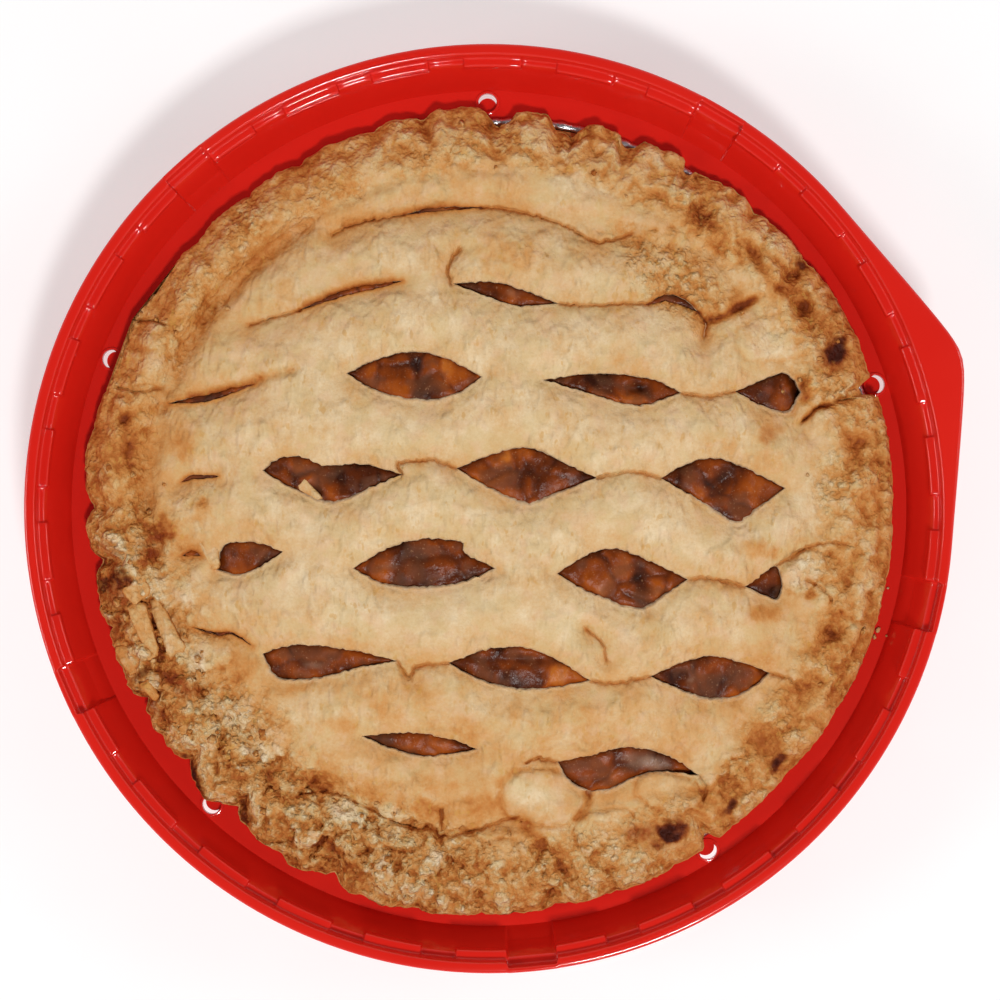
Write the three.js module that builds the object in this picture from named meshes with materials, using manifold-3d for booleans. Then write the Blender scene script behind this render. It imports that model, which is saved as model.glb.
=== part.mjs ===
// A baked apple pie in its foil tin, standing in a round plastic carrier tray.
// Millimetres, +Z up. The origin is the centre of the tray's flat underside.
import * as THREE from 'three';
import { mergeVertices } from 'three/addons/utils/BufferGeometryUtils.js';
import Module from 'manifold-3d';

const wasm = await Module();
wasm.setup();

const TAU = 2 * Math.PI;
const DEGREE = Math.PI / 180;
const UP = new THREE.Vector3(0, 0, 1);
const CLEARANCE = 0.3; // air between pieces that touch

// Tray: a moulded shell with a well for the tin, a ledge, a steep wall and a flat rim.
const TRAY_RADIUS = 142;
const TRAY_HEIGHT = 50;
const TRAY_WALL = 2.2;
const RIM_STEP_RADIUS = 138.2;
const SHELF_HEIGHT = 45;
const SHELF_INNER_RADIUS = 136.5;
const LEDGE_OUTER_RADIUS = 130.7;
const LEDGE_INNER_RADIUS = 114.6;
const LEDGE_HEIGHT = 31;
const FLOOR_RADIUS = 93.8;
const FLOOR_HEIGHT = 2.4;

// Stop blocks on the shelf under the rim, and the lock notches midway between two of them.
const BLOCK_COUNT = 30;
const BLOCK_FIRST_ANGLE = 5.5;
const BLOCK_SPAN = 7.5;
const TRAY_FACETS = 2 * BLOCK_COUNT; // one facet for each block and one for each gap
const BLOCK_INNER_RADIUS = 135.3;
const BLOCK_HEIGHT = 1.5;
const NOTCH_COUNT = 5;
const NOTCH_FIRST_ANGLE = 59.5;
const NOTCH_WIDTH = 15;
const NOTCH_BACK_RADIUS = 140;

// Drain holes in the ledge: a round raised collar round a recess with a crescent slot.
const DRAIN_ANGLES = [17.8, 90.2, 158.4, 226.9, 302.6];
const DRAIN_CIRCLE_RADIUS = 126.2;
const DRAIN_RADIUS = 2.9;
const COLLAR_RADIUS = 3.4;
const COLLAR_HEIGHT = 0.6;
const DRAIN_DEPTH = 1.4;
const SLOT_WIDTH = 1.5;
const PIN_FACETS = 10;

// Grip tab: a flat rounded corner that grows out of the rim.
const TAB_ANGLE = 18;
const TAB_TANGENT_ANGLE = 23; // where its sides touch the rim, either side of the tip
const TAB_ROUNDED_SHARE = 0.1;
const TAB_ROOT_RADIUS = RIM_STEP_RADIUS + 1.6;
const TAB_THICKNESS = 2.8;

// Foil tin with a flat lip and a rolled edge.
const TIN_BASE_RADIUS = 91;
const TIN_LIP_RADIUS = 112.2;
const TIN_RADIUS = 122.5;
const TIN_FOIL = 0.6;
const TIN_BEAD = 2.3;
const TIN_FACETS = 48;

// Pastry
const PASTRY = 4.4; // thickness of the bottom, the side and the lid
const CRUST_RADIUS = 124.9;
const CRIMP_COUNT = 36;
const CRIMP_TURN = 8.5 * DEGREE; // angle of one finger hollow
const CRIMP_IN_OUT = 1.7;
const HOLLOW_DEPTH = 3.6;
const HOLLOW_RADIUS = 114;
const HOLLOW_REACH = 6;
const ROPE_HEIGHT = 3.4; // crest of the crimped edge above the valley inside it
const ROPE_WIDTH = 17;
const VALLEY_RADIUS = 104;
const VALLEY_HEIGHT = 39.5;
const DOME_HEIGHT = 54;
const DOME_FULLNESS = 2.6;
const ROW_PITCH = 28;
const ROW_PHASE = 10;
const PUFF = 1.3; // rise of the lid between two rows of slits
const PUFF_FADE = 12; // the puffs die away over this width inside the valley
const CAVITY_RADIUS = 103;
const FILLING_FACETS = 32;

// Slits of the lid, row by row from the far side: [x, y, length, opening, slope in degrees].
const SLIT_ROWS = [
  [[-49, 63.4, 44, 2.8, 15], [6.2, 65.6, 33, 4.4, -5], [58.5, 62, 16, 3, -18]],
  [[-79.5, 37, 38, 3, 12], [-23, 40.3, 41.5, 15.6, -1], [39, 37, 43, 9.6, -5], [86.5, 35, 25, 10.6, 0]],
  [[-49.7, 9.2, 42.5, 13.4, -3], [12, 9.6, 43, 16.8, -4], [72.2, 6.8, 38, 18.2, -5]],
  [[-74, -14.6, 22, 8.6, 0], [-19.3, -17, 43, 15, -1], [41.6, -21.5, 40, 17.8, 0], [84, -23, 13, 7.4, 0]],
  [[-48.6, -47.6, 41, 11.4, -3], [9.8, -49, 43, 13, -5], [68, -52.3, 35, 13, -2]],
  [[-19, -71.6, 34, 6.8, -4], [39.5, -80, 41, 13, 8]],
];

const COLOURS = { tray: 0xcf2118, foil_tin: 0xc9cacd, crust: 0xdcb682, filling: 0x7a3714 };

// ---- solids -------------------------------------------------------------------------------

function solidFrom(geometry) {
  const bare = geometry.index ? geometry.clone() : geometry;
  bare.deleteAttribute('normal');
  bare.deleteAttribute('uv');
  const merged = mergeVertices(bare, 1e-4);
  const mesh = new wasm.Mesh({
    numProp: 3,
    vertProperties: new Float32Array(merged.attributes.position.array),
    triVerts: new Uint32Array(merged.index.array),
  });
  return new wasm.Manifold(mesh);
}

function geometryFrom(solid) {
  const { vertProperties, triVerts } = solid.getMesh();
  const geometry = new THREE.BufferGeometry();
  geometry.setAttribute('position', new THREE.BufferAttribute(vertProperties, 3));
  geometry.setIndex(new THREE.BufferAttribute(triVerts, 1));
  geometry.computeVertexNormals();
  return geometry;
}

function node(name, geometry, roughness, metalness) {
  const material = new THREE.MeshStandardMaterial({ color: COLOURS[name], roughness, metalness });
  const mesh = new THREE.Mesh(geometry, material);
  mesh.name = name;
  return mesh;
}

// Turns a closed [radius, height] profile that starts and ends on the axis about +Z.
function turned(profile, facets, turn = 0) {
  const points = profile.map(([radius, height]) => new THREE.Vector2(radius, height));
  const geometry = new THREE.LatheGeometry(points, facets);
  geometry.rotateX(Math.PI / 2);
  geometry.rotateZ(turn);
  return geometry;
}

// Extrudes a [radius, height] outline across the radius, to stand at an angle round the axis.
function radialBar(outline, width, angle) {
  const shape = new THREE.Shape(outline.map(([radius, height]) => new THREE.Vector2(radius, height)));
  const geometry = new THREE.ExtrudeGeometry(shape, { depth: width, bevelEnabled: false });
  geometry.translate(0, 0, -width / 2);
  geometry.rotateX(Math.PI / 2);
  geometry.rotateZ(angle * DEGREE);
  return geometry;
}

function pin(radius, low, high, distance, angle) {
  const geometry = new THREE.CylinderGeometry(radius, radius, high - low, PIN_FACETS);
  geometry.rotateX(Math.PI / 2);
  geometry.translate(distance, 0, (low + high) / 2);
  geometry.rotateZ(angle * DEGREE);
  return geometry;
}

// ---- stitched rings -----------------------------------------------------------------------

// A ring of points about the axis whose radius and height may change with the angle.
function ring(count, radiusAt, heightAt) {
  return Array.from({ length: count }, (_, index) => {
    const angle = CRIMP_TURN + (TAU * (index + 0.5)) / count;
    const radius = radiusAt(angle);
    const x = radius * Math.cos(angle);
    const y = radius * Math.sin(angle);
    return [x, y, heightAt(x, y, angle)];
  });
}

const pole = (height) => [[0, 0, height]];

// Joins rings of any point counts, in order from the underside's centre round to the top's.
function stitched(rings) {
  const faces = [];
  const starts = [];
  let total = 0;
  for (const points of rings) {
    starts.push(total);
    total += points.length;
  }
  for (let level = 0; level + 1 < rings.length; level += 1) {
    const lowCount = rings[level].length;
    const highCount = rings[level + 1].length;
    const low = (step) => starts[level] + (step % lowCount);
    const high = (step) => starts[level + 1] + (step % highCount);
    let i = 0;
    let j = 0;
    while (i < lowCount || j < highCount) {
      const alongLow = j === highCount || (i < lowCount && (i + 1) / lowCount <= (j + 1) / highCount);
      if (alongLow && lowCount > 1) faces.push(low(i), low(i + 1), high(j));
      if (!alongLow && highCount > 1) faces.push(low(i), high(j + 1), high(j));
      i += alongLow ? 1 : 0;
      j += alongLow ? 0 : 1;
    }
  }
  const geometry = new THREE.BufferGeometry();
  geometry.setAttribute('position', new THREE.Float32BufferAttribute(rings.flat(2), 3));
  geometry.setIndex(faces);
  return geometry;
}

// ---- tray ---------------------------------------------------------------------------------

function trayShell() {
  const under = LEDGE_HEIGHT - TRAY_WALL;
  const lip = TRAY_HEIGHT - 4;
  const profile = [
    [0, 0],
    [FLOOR_RADIUS, 0],
    [FLOOR_RADIUS + 4, 1.6],
    [LEDGE_INNER_RADIUS + 1.3, under],
    [LEDGE_OUTER_RADIUS + 1.6, under],
    [RIM_STEP_RADIUS, SHELF_HEIGHT - TRAY_WALL],
    [TRAY_RADIUS - 1.8, SHELF_HEIGHT - TRAY_WALL],
    [TRAY_RADIUS - 1.8, lip],
    [TRAY_RADIUS, lip],
    [TRAY_RADIUS, TRAY_HEIGHT - 0.6],
    [TRAY_RADIUS - 0.6, TRAY_HEIGHT],
    [RIM_STEP_RADIUS + 0.4, TRAY_HEIGHT],
    [RIM_STEP_RADIUS - 0.1, SHELF_HEIGHT],
    [SHELF_INNER_RADIUS, SHELF_HEIGHT],
    [LEDGE_OUTER_RADIUS, LEDGE_HEIGHT + 1.3],
    [LEDGE_OUTER_RADIUS - 1.5, LEDGE_HEIGHT],
    [LEDGE_INNER_RADIUS, LEDGE_HEIGHT],
    [FLOOR_RADIUS + 3.2, FLOOR_HEIGHT + 1.6],
    [FLOOR_RADIUS, FLOOR_HEIGHT],
    [0, FLOOR_HEIGHT],
  ];
  const gapHalf = 180 / BLOCK_COUNT - BLOCK_SPAN / 2;
  const geometry = turned(profile, TRAY_FACETS, (BLOCK_FIRST_ANGLE + BLOCK_SPAN / 2) * DEGREE);
  return solidFrom(pullColumns(geometry, (180 / TRAY_FACETS - gapHalf) * DEGREE));
}

// Turns every second column of a turned shape's points, for facets that are wide and narrow by turns.
function pullColumns(geometry, pull) {
  const positions = geometry.attributes.position;
  const point = new THREE.Vector3();
  const pointsInColumn = geometry.parameters.points.length;
  for (let index = 0; index < positions.count; index += 1) {
    const column = Math.floor(index / pointsInColumn);
    point.fromBufferAttribute(positions, index);
    point.applyAxisAngle(UP, column % 2 === 1 ? -2 * pull : 0);
    positions.setXYZ(index, point.x, point.y, point.z);
  }
  return geometry;
}

function stopBlock(index) {
  const outer = RIM_STEP_RADIUS + 0.8;
  const depth = outer - BLOCK_INNER_RADIUS;
  const width = 2 * BLOCK_INNER_RADIUS * Math.sin((BLOCK_SPAN / 2) * DEGREE) - 0.3;
  const low = SHELF_HEIGHT - 1.2;
  const high = SHELF_HEIGHT + BLOCK_HEIGHT;
  const geometry = new THREE.BoxGeometry(depth, width, high - low);
  geometry.translate(BLOCK_INNER_RADIUS + depth / 2, 0, (low + high) / 2);
  geometry.rotateZ((BLOCK_FIRST_ANGLE + (index * 360) / BLOCK_COUNT) * DEGREE);
  return solidFrom(geometry);
}

// The wall is thicker behind a notch, so that the channel never breaks through it.
function notchBacking(angle) {
  const outline = [
    [LEDGE_OUTER_RADIUS + 1.5, LEDGE_HEIGHT - 1.6],
    [LEDGE_OUTER_RADIUS + 4.3, LEDGE_HEIGHT - 0.8],
    [TRAY_RADIUS - 0.8, SHELF_HEIGHT - 2.5],
    [TRAY_RADIUS - 0.8, TRAY_HEIGHT - 0.8],
    [RIM_STEP_RADIUS + 1, TRAY_HEIGHT - 0.8],
    [RIM_STEP_RADIUS + 1, SHELF_HEIGHT - 1],
  ];
  return solidFrom(radialBar(outline, NOTCH_WIDTH + 2 * TRAY_WALL, angle));
}

function notchChannel(angle) {
  const outline = [
    [LEDGE_OUTER_RADIUS - 5, TRAY_HEIGHT + 1],
    [LEDGE_OUTER_RADIUS - 5, LEDGE_HEIGHT + 1.4],
    [LEDGE_OUTER_RADIUS - 0.1, LEDGE_HEIGHT + 1.4],
    [LEDGE_OUTER_RADIUS + 0.4, LEDGE_HEIGHT + 2],
    [LEDGE_OUTER_RADIUS + 1.1, LEDGE_HEIGHT + 3],
    [SHELF_INNER_RADIUS + 1.2, SHELF_HEIGHT],
    [NOTCH_BACK_RADIUS, SHELF_HEIGHT + 0.6],
    [NOTCH_BACK_RADIUS, TRAY_HEIGHT + 1],
  ];
  return solidFrom(radialBar(outline, NOTCH_WIDTH, angle));
}

// The tab is the corner between two lines that touch the rim, rounded at its tip.
function gripTab() {
  const spread = TAB_TANGENT_ANGLE * DEGREE;
  const corner = new THREE.Vector2(TRAY_RADIUS / Math.cos(spread), 0);
  const foot = (side, radius) => new THREE.Vector2(
    radius * Math.cos(spread),
    side * radius * Math.sin(spread),
  );
  const bend = (side) => corner.clone().lerp(foot(side, TRAY_RADIUS), TAB_ROUNDED_SHARE);
  const [start, end] = [bend(-1), bend(1)];
  const shape = new THREE.Shape([foot(-1, TAB_ROOT_RADIUS), foot(-1, TRAY_RADIUS - 0.3), start]);
  shape.quadraticCurveTo(corner.x, corner.y, end.x, end.y);
  shape.lineTo(...foot(1, TRAY_RADIUS - 0.3));
  shape.lineTo(...foot(1, TAB_ROOT_RADIUS));
  shape.absarc(0, 0, TAB_ROOT_RADIUS, spread, -spread, true);
  const options = { depth: TAB_THICKNESS, bevelEnabled: false, curveSegments: 8 };
  const geometry = new THREE.ExtrudeGeometry(shape, options);
  geometry.translate(0, 0, TRAY_HEIGHT - TAB_THICKNESS);
  geometry.rotateZ(TAB_ANGLE * DEGREE);
  return solidFrom(geometry);
}

function addDrain(tray, angle) {
  const top = LEDGE_HEIGHT + COLLAR_HEIGHT;
  const bottom = LEDGE_HEIGHT - TRAY_WALL;
  const recess = [top - DRAIN_DEPTH, top + 1];
  const collar = solidFrom(pin(COLLAR_RADIUS, bottom, top, DRAIN_CIRCLE_RADIUS, angle));
  const bowl = solidFrom(pin(DRAIN_RADIUS, ...recess, DRAIN_CIRCLE_RADIUS, angle));
  const through = solidFrom(pin(DRAIN_RADIUS, bottom - 1, top, DRAIN_CIRCLE_RADIUS, angle));
  const bridge = solidFrom(pin(DRAIN_RADIUS, bottom - 2, top + 1, DRAIN_CIRCLE_RADIUS - SLOT_WIDTH, angle));
  return tray.add(collar).subtract(bowl).subtract(through.subtract(bridge));
}

function makeTray() {
  let tray = trayShell();
  for (let index = 0; index < BLOCK_COUNT; index += 1) {
    tray = tray.add(stopBlock(index));
  }
  for (let index = 0; index < NOTCH_COUNT; index += 1) {
    const angle = NOTCH_FIRST_ANGLE + (index * 360) / NOTCH_COUNT;
    tray = tray.add(notchBacking(angle)).subtract(notchChannel(angle));
  }
  tray = tray.add(gripTab());
  for (const angle of DRAIN_ANGLES) {
    tray = addDrain(tray, angle);
  }
  return geometryFrom(tray);
}

// ---- tin ----------------------------------------------------------------------------------

const tinFloor = FLOOR_HEIGHT + CLEARANCE;
const tinLip = LEDGE_HEIGHT + CLEARANCE;

function makeTin() {
  const profile = [
    [0, tinFloor],
    [TIN_BASE_RADIUS, tinFloor],
    [TIN_BASE_RADIUS + 1.8, tinFloor + 1],
    [TIN_LIP_RADIUS, tinLip],
    [TIN_RADIUS, tinLip],
    [TIN_RADIUS - 0.8, tinLip + TIN_BEAD],
    [TIN_RADIUS - 2, tinLip + TIN_BEAD],
    [TIN_RADIUS - 2.8, tinLip + TIN_FOIL],
    [TIN_LIP_RADIUS, tinLip + TIN_FOIL],
    [TIN_LIP_RADIUS - 0.7, tinLip],
    [TIN_BASE_RADIUS + 1.2, tinFloor + TIN_FOIL + 0.8],
    [TIN_BASE_RADIUS - 0.4, tinFloor + TIN_FOIL],
    [0, tinFloor + TIN_FOIL],
  ];
  return turned(profile, TIN_FACETS, CRIMP_TURN + Math.PI / TIN_FACETS);
}

// ---- pastry and filling -------------------------------------------------------------------

const clamp01 = (value) => THREE.MathUtils.clamp(value, 0, 1);

// 1 in the middle of a finger hollow of the crimped edge, 0 on the ridge between two.
const hollowAt = (angle) => 0.5 + 0.5 * Math.cos(CRIMP_COUNT * (angle - CRIMP_TURN));

function domeHeight(radius) {
  const share = Math.min(radius / VALLEY_RADIUS, 1);
  return VALLEY_HEIGHT + (DOME_HEIGHT - VALLEY_HEIGHT) * (1 - share ** DOME_FULLNESS);
}

// Height of the pastry's top at a place in plan.
function crustHeight(x, y, angle) {
  const radius = Math.hypot(x, y);
  const inside = clamp01((VALLEY_RADIUS - radius) / PUFF_FADE);
  const puff = -PUFF * inside * Math.cos((TAU * (y - ROW_PHASE)) / ROW_PITCH);
  const rope = ROPE_HEIGHT * Math.sin(Math.PI * clamp01((radius - VALLEY_RADIUS) / ROPE_WIDTH));
  const press = HOLLOW_DEPTH * hollowAt(angle) * Math.exp(-(((radius - HOLLOW_RADIUS) / HOLLOW_REACH) ** 2));
  return domeHeight(radius) + puff + rope - press;
}

const edgeShift = (angle) => CRIMP_IN_OUT * (0.5 - hollowAt(angle));

function underRing(radius, height) {
  return ring(TIN_FACETS, () => radius, () => height);
}

function edgeRing(radius, height) {
  return ring(3 * CRIMP_COUNT, (angle) => radius + edgeShift(angle), () => height);
}

function rimRing(radius) {
  const outer = clamp01((radius - VALLEY_RADIUS) / (CRUST_RADIUS - VALLEY_RADIUS));
  return ring(3 * CRIMP_COUNT, (angle) => radius + edgeShift(angle) * outer, crustHeight);
}

function lidRings(edgeLength, heightAt, fromRadius, turns) {
  return Array.from({ length: turns }, (_, index) => {
    const radius = fromRadius * (1 - index / turns);
    const count = 6 * Math.max(1, Math.round((TAU * radius) / edgeLength / 6));
    return ring(count, () => radius, heightAt);
  });
}

function crustBlank() {
  const floor = tinFloor + TIN_FOIL + CLEARANCE;
  const lip = tinLip + TIN_FOIL + CLEARANCE;
  const bead = tinLip + TIN_BEAD + CLEARANCE;
  const edge = bead + 1.6;
  return solidFrom(stitched([
    pole(floor),
    underRing(TIN_BASE_RADIUS - 0.9, floor),
    underRing(TIN_BASE_RADIUS + 0.7, floor + 1),
    underRing(TIN_LIP_RADIUS - 1.3, lip - 0.6),
    underRing(TIN_LIP_RADIUS - 0.4, lip),
    underRing(TIN_RADIUS - 3.4, lip),
    underRing(TIN_RADIUS - 2.6, bead),
    edgeRing(CRUST_RADIUS - 1.6, bead),
    edgeRing(CRUST_RADIUS, edge),
    edgeRing(CRUST_RADIUS - 0.4, edge + 2.4),
    rimRing(CRUST_RADIUS - 3.2),
    rimRing(HOLLOW_RADIUS + 3),
    rimRing(HOLLOW_RADIUS - 2),
    rimRing(VALLEY_RADIUS),
    ...lidRings(11.5, crustHeight, 95, 9),
    pole(crustHeight(0, 0, 0)),
  ]));
}

// The space inside the pastry, made smaller all round by a margin.
function pieInside(margin) {
  const floor = tinFloor + TIN_FOIL + CLEARANCE + PASTRY + margin;
  const base = TIN_BASE_RADIUS - PASTRY - margin;
  const rim = CAVITY_RADIUS - margin;
  const roof = (radius) => domeHeight(radius) - PASTRY - margin;
  const profile = [[0, floor], [base, floor], [rim, roof(rim) - 2.5], [rim - 2, roof(rim - 2)]];
  for (const share of [0.88, 0.74, 0.58, 0.4, 0.2]) {
    profile.push([rim * share, roof(rim * share)]);
  }
  profile.push([0, roof(0)]);
  return turned(profile, FILLING_FACETS);
}

function slitCutter([x, y, length, opening, slope]) {
  const half = length / 2;
  const shape = new THREE.Shape();
  shape.moveTo(-half, 0);
  shape.quadraticCurveTo(0, -opening, half, 0);
  shape.quadraticCurveTo(0, opening, -half, 0);
  const low = VALLEY_HEIGHT - 5;
  const geometry = new THREE.ExtrudeGeometry(shape, { depth: 30, bevelEnabled: false, curveSegments: 4 });
  geometry.rotateZ(slope * DEGREE);
  geometry.translate(x, y, low);
  return solidFrom(geometry);
}

function makeCrust() {
  let crust = crustBlank().subtract(solidFrom(pieInside(0)));
  for (const slit of SLIT_ROWS.flat()) {
    crust = crust.subtract(slitCutter(slit));
  }
  return geometryFrom(crust);
}

// ---- the whole ----------------------------------------------------------------------------

const pie = new THREE.Group();
pie.add(node('tray', makeTray(), 0.18, 0));
pie.add(node('foil_tin', makeTin(), 0.3, 1));
pie.add(node('crust', makeCrust(), 0.8, 0));
pie.add(node('filling', pieInside(CLEARANCE), 0.25, 0));

export default pie;
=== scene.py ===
import math

import bpy
import numpy as np
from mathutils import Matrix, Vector, noise
from mathutils.geometry import delaunay_2d_cdt


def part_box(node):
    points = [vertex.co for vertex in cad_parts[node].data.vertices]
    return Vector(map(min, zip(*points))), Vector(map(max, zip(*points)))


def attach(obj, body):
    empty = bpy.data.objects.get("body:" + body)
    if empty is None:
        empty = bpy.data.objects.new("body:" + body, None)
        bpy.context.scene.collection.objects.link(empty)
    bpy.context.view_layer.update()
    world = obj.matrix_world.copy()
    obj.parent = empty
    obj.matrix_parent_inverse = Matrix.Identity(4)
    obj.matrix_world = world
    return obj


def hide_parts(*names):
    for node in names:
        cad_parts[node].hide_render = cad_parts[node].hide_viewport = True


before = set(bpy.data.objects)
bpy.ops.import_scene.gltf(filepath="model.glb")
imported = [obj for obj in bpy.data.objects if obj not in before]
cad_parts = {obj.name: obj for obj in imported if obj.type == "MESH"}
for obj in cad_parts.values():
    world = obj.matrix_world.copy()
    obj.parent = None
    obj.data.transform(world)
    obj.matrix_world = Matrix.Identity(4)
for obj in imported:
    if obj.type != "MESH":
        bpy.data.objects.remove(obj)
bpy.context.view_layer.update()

# Lengths are in millimetres and angles in degrees. Angles run from +X towards +Y.
MM = 0.001
TAU = 2 * math.pi

# ---- sizes from the frame -----------------------------------------------------------------


def low_of(node):
    """The height of a node's lowest point."""
    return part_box(node)[0].z / MM


def top_of(node):
    """The highest corner of a node's box."""
    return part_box(node)[1] / MM


TIN_DEPTH = 28.3  # from the underside of the tin to the ledge that its edge lies on
LUMP_ROOM = 1.3  # how far the lumps rise over the lid's dome

TRAY_RADIUS = top_of("tray").y
TRAY_TOP = top_of("tray").z
TIN_RADIUS = top_of("foil_tin").y
TIN_LOW = low_of("foil_tin")
TIN_TOP = top_of("foil_tin").z
LEDGE_TOP = TIN_LOW + TIN_DEPTH
CRUST_LOW = low_of("crust")
LID_TOP = top_of("crust").z - LUMP_ROOM
FILLING_LOW = low_of("filling")
FILLING_RADIUS = top_of("filling").x

# ---- small sums ---------------------------------------------------------------------------

SCRAMBLE = (12.99, 78.23, 37.72)  # these two turn the middle of a flake into its own chance
SCRAMBLE_GAIN = 43758.5
FLAKE_TILT = 0.9
SEAM_WIDTH = 0.10  # of a crack between flakes, as a share of their size
LINE_REACH = 16.0  # how far from a line distances to it are worked out


def rise(value, low, high):
    """0 below low, 1 above high, and a smooth step between."""
    share = np.clip((value - low) / (high - low), 0, 1)
    return share * share * (3 - 2 * share)


def bell(away, width, power=2):
    """1 at no distance and about a third at the width, on the way down to 0."""
    return np.exp(-((away / width) ** power))


def cos_sin(turn):
    return math.cos(math.radians(turn)), math.sin(math.radians(turn))


def turn_between(angle, other, period=360):
    """How far an angle is past another one, from minus half a period to plus half."""
    return (angle - other + period / 2) % period - period / 2


def sector(angle, centre, half, fade):
    """1 within half of a centre angle and 0 beyond half + fade."""
    return 1 - rise(np.abs(turn_between(angle, centre)), half, half + fade)


def seen_from(plan, place, turn):
    """Points in plan as they lie from a place whose X axis is turned."""
    c, s = cos_sin(turn)
    return (plan - np.array(place)) @ np.array([[c, -s], [s, c]])


def hill(plan, place, size, turn):
    """1 at a place in plan and next to nothing beyond twice the size, which may differ across."""
    return np.exp(-((seen_from(plan, place, turn) / np.array(size)) ** 2).sum(1))


def bearing(points):
    """The angle that each point lies at."""
    return np.degrees(np.arctan2(points[:, 1], points[:, 0]))


def polar(plan):
    """The radius and the angle of each point."""
    return np.hypot(*plan.T), bearing(plan) % 360


def around(radius, angle):
    """Points in plan at a radius and an angle."""
    turn = np.radians(angle)
    return np.stack([radius * np.cos(turn), radius * np.sin(turn)], -1)


def circle(radius, count):
    return around(radius, np.arange(count) * 360 / count)


def ring_at(radius, height, angles):
    """Points at the angles, with a radius and a height that may differ from one to the next."""
    return np.column_stack([around(radius + 0 * angles, angles), height + 0 * angles])


def lumps(points, size, octaves=3, seed=0.0):
    """Soft noise from about -1 to 1 whose lumps have a given size."""
    moved = points / size + seed
    if moved.shape[1] == 2:
        moved = np.column_stack([moved, np.full(len(moved), seed)])
    return np.array([noise.fractal(Vector(p), 1.0, 2.0, octaves) for p in moved])


def flakes(plan, size, seed):
    """Broken flakes of a size: the level of each from 0 to 1, slightly tilted, and a mask of the
    cracks between them."""
    moved = np.column_stack([plan / size, np.full(len(plan), seed)])
    level = np.zeros(len(moved))
    crack = np.zeros(len(moved))
    for index, spot in enumerate(moved):
        distances, centres = noise.voronoi(Vector(spot))
        centre = np.array(centres[0])
        chance = np.sin(centre @ SCRAMBLE) * SCRAMBLE_GAIN % 1
        tilt = around(FLAKE_TILT, 360 * (chance * 7 % 1))
        level[index] = chance + (spot - centre)[:2] @ tilt
        crack[index] = distances[1] - distances[0]
    return level, bell(crack, SEAM_WIDTH)


def through(points, step):
    """A smooth curve through the points, with a point about every step."""
    points = np.array(points, float)
    ends = 2 * points[[0, -1]] - points[[1, -2]]
    padded = np.vstack([ends[:1], points, ends[1:]])
    pieces = []
    for a, b, c, d in zip(padded, padded[1:], padded[2:], padded[3:]):
        count = max(1, round(np.linalg.norm(c - b) / step))
        t = np.arange(count)[:, None] / count
        curve = 2 * b + (c - a) * t
        curve = curve + (2 * a - 5 * b + 4 * c - d) * t**2
        curve = curve + (3 * b - a - 3 * c + d) * t**3
        pieces.append(0.5 * curve)
    return np.vstack([*pieces, points[-1:]])


def normals(line):
    """The direction square to a line of points, to its left, at each of them."""
    along = np.gradient(line, axis=0)
    return np.column_stack([-along[:, 1], along[:, 0]]) / np.linalg.norm(along, axis=1)[:, None]


def closed(outline):
    """An outline as a line that ends where it starts."""
    return np.vstack([outline, outline[:1]])


def near(plan, line, reach):
    """Which points lie within reach of a line's bounding box."""
    return ((plan > line.min(0) - reach) & (plan < line.max(0) + reach)).all(1)


def nearest_on(plan, line):
    """Distance in plan from each point to a line of joined points, and how far beyond the line it
    lies towards +Y, both worked out near the line only."""
    distance = np.full(len(plan), np.inf)
    beyond = np.zeros(len(plan))
    close = near(plan, line, LINE_REACH)
    spots = plan[close]
    best = distance[close]
    lean = beyond[close]
    for start, end in zip(line, line[1:]):
        along = end - start
        share = np.clip((spots - start) @ along / (along @ along), 0, 1)
        offset = spots - start - share[:, None] * along
        length = np.linalg.norm(offset, axis=1)
        nearer = length < best
        best[nearer] = length[nearer]
        lean[nearer] = offset[nearer, 1]
    distance[close] = best
    beyond[close] = lean
    return distance, beyond


def distance_to(plan, line):
    return nearest_on(plan, line)[0]


def inside(plan, outline):
    """Which points lie inside a closed outline."""
    within = np.zeros(len(plan), bool)
    close = near(plan, outline, 0)
    x, y = plan[close].T
    odd = np.zeros(len(x), bool)
    for (x0, y0), (x1, y1) in zip(outline, np.roll(outline, -1, 0)):
        if y0 != y1:
            odd ^= ((y0 > y) != (y1 > y)) & (x < (x1 - x0) * (y - y0) / (y1 - y0) + x0)
    within[close] = odd
    return within


def clear_of(plan, outlines, gap):
    """Which points lie outside all of the outlines and more than a gap away from them."""
    clear = np.ones(len(plan), bool)
    for outline in outlines:
        clear &= (distance_to(plan, outline) > gap) & ~inside(plan, outline)
    return clear


# ---- meshes -------------------------------------------------------------------------------

ARC_POINTS = 5
SIDE_SHARE = 0.45  # the most of a side that the arc at its corner takes


def add_object(name, data):
    """A new object in the scene: a mesh, a lamp or a camera."""
    thing = bpy.data.objects.new(name, data)
    bpy.context.scene.collection.objects.link(thing)
    return thing


def place_piece(name, mesh, finish, stands_for=()):
    """Puts a mesh in the scene as a piece that rides on the root body."""
    mesh.materials.clear()
    mesh.materials.append(finish)
    piece = add_object(name, mesh)
    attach(piece, "root")
    if stands_for:
        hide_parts(*stands_for)


def make_piece(name, points, faces, finish, masks=None, stands_for=()):
    """A smooth piece from points in millimetres, with a mask value at each point."""
    mesh = bpy.data.meshes.new(name)
    mesh.from_pydata((np.asarray(points) * MM).tolist(), [], faces)
    mesh.validate()
    mesh.shade_smooth()
    for mask, values in (masks or {}).items():
        attribute = mesh.attributes.new(mask, "FLOAT", "POINT")
        attribute.data.foreach_set("value", np.asarray(values, np.float32))
    place_piece(name, mesh, finish, stands_for)


def ring_faces(first, second):
    """Quads between two rings of point numbers, facing out when the first ring is above and runs
    anticlockwise."""
    count = len(first)
    return [(first[(i + 1) % count], first[i], second[i], second[(i + 1) % count]) for i in range(count)]


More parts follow.
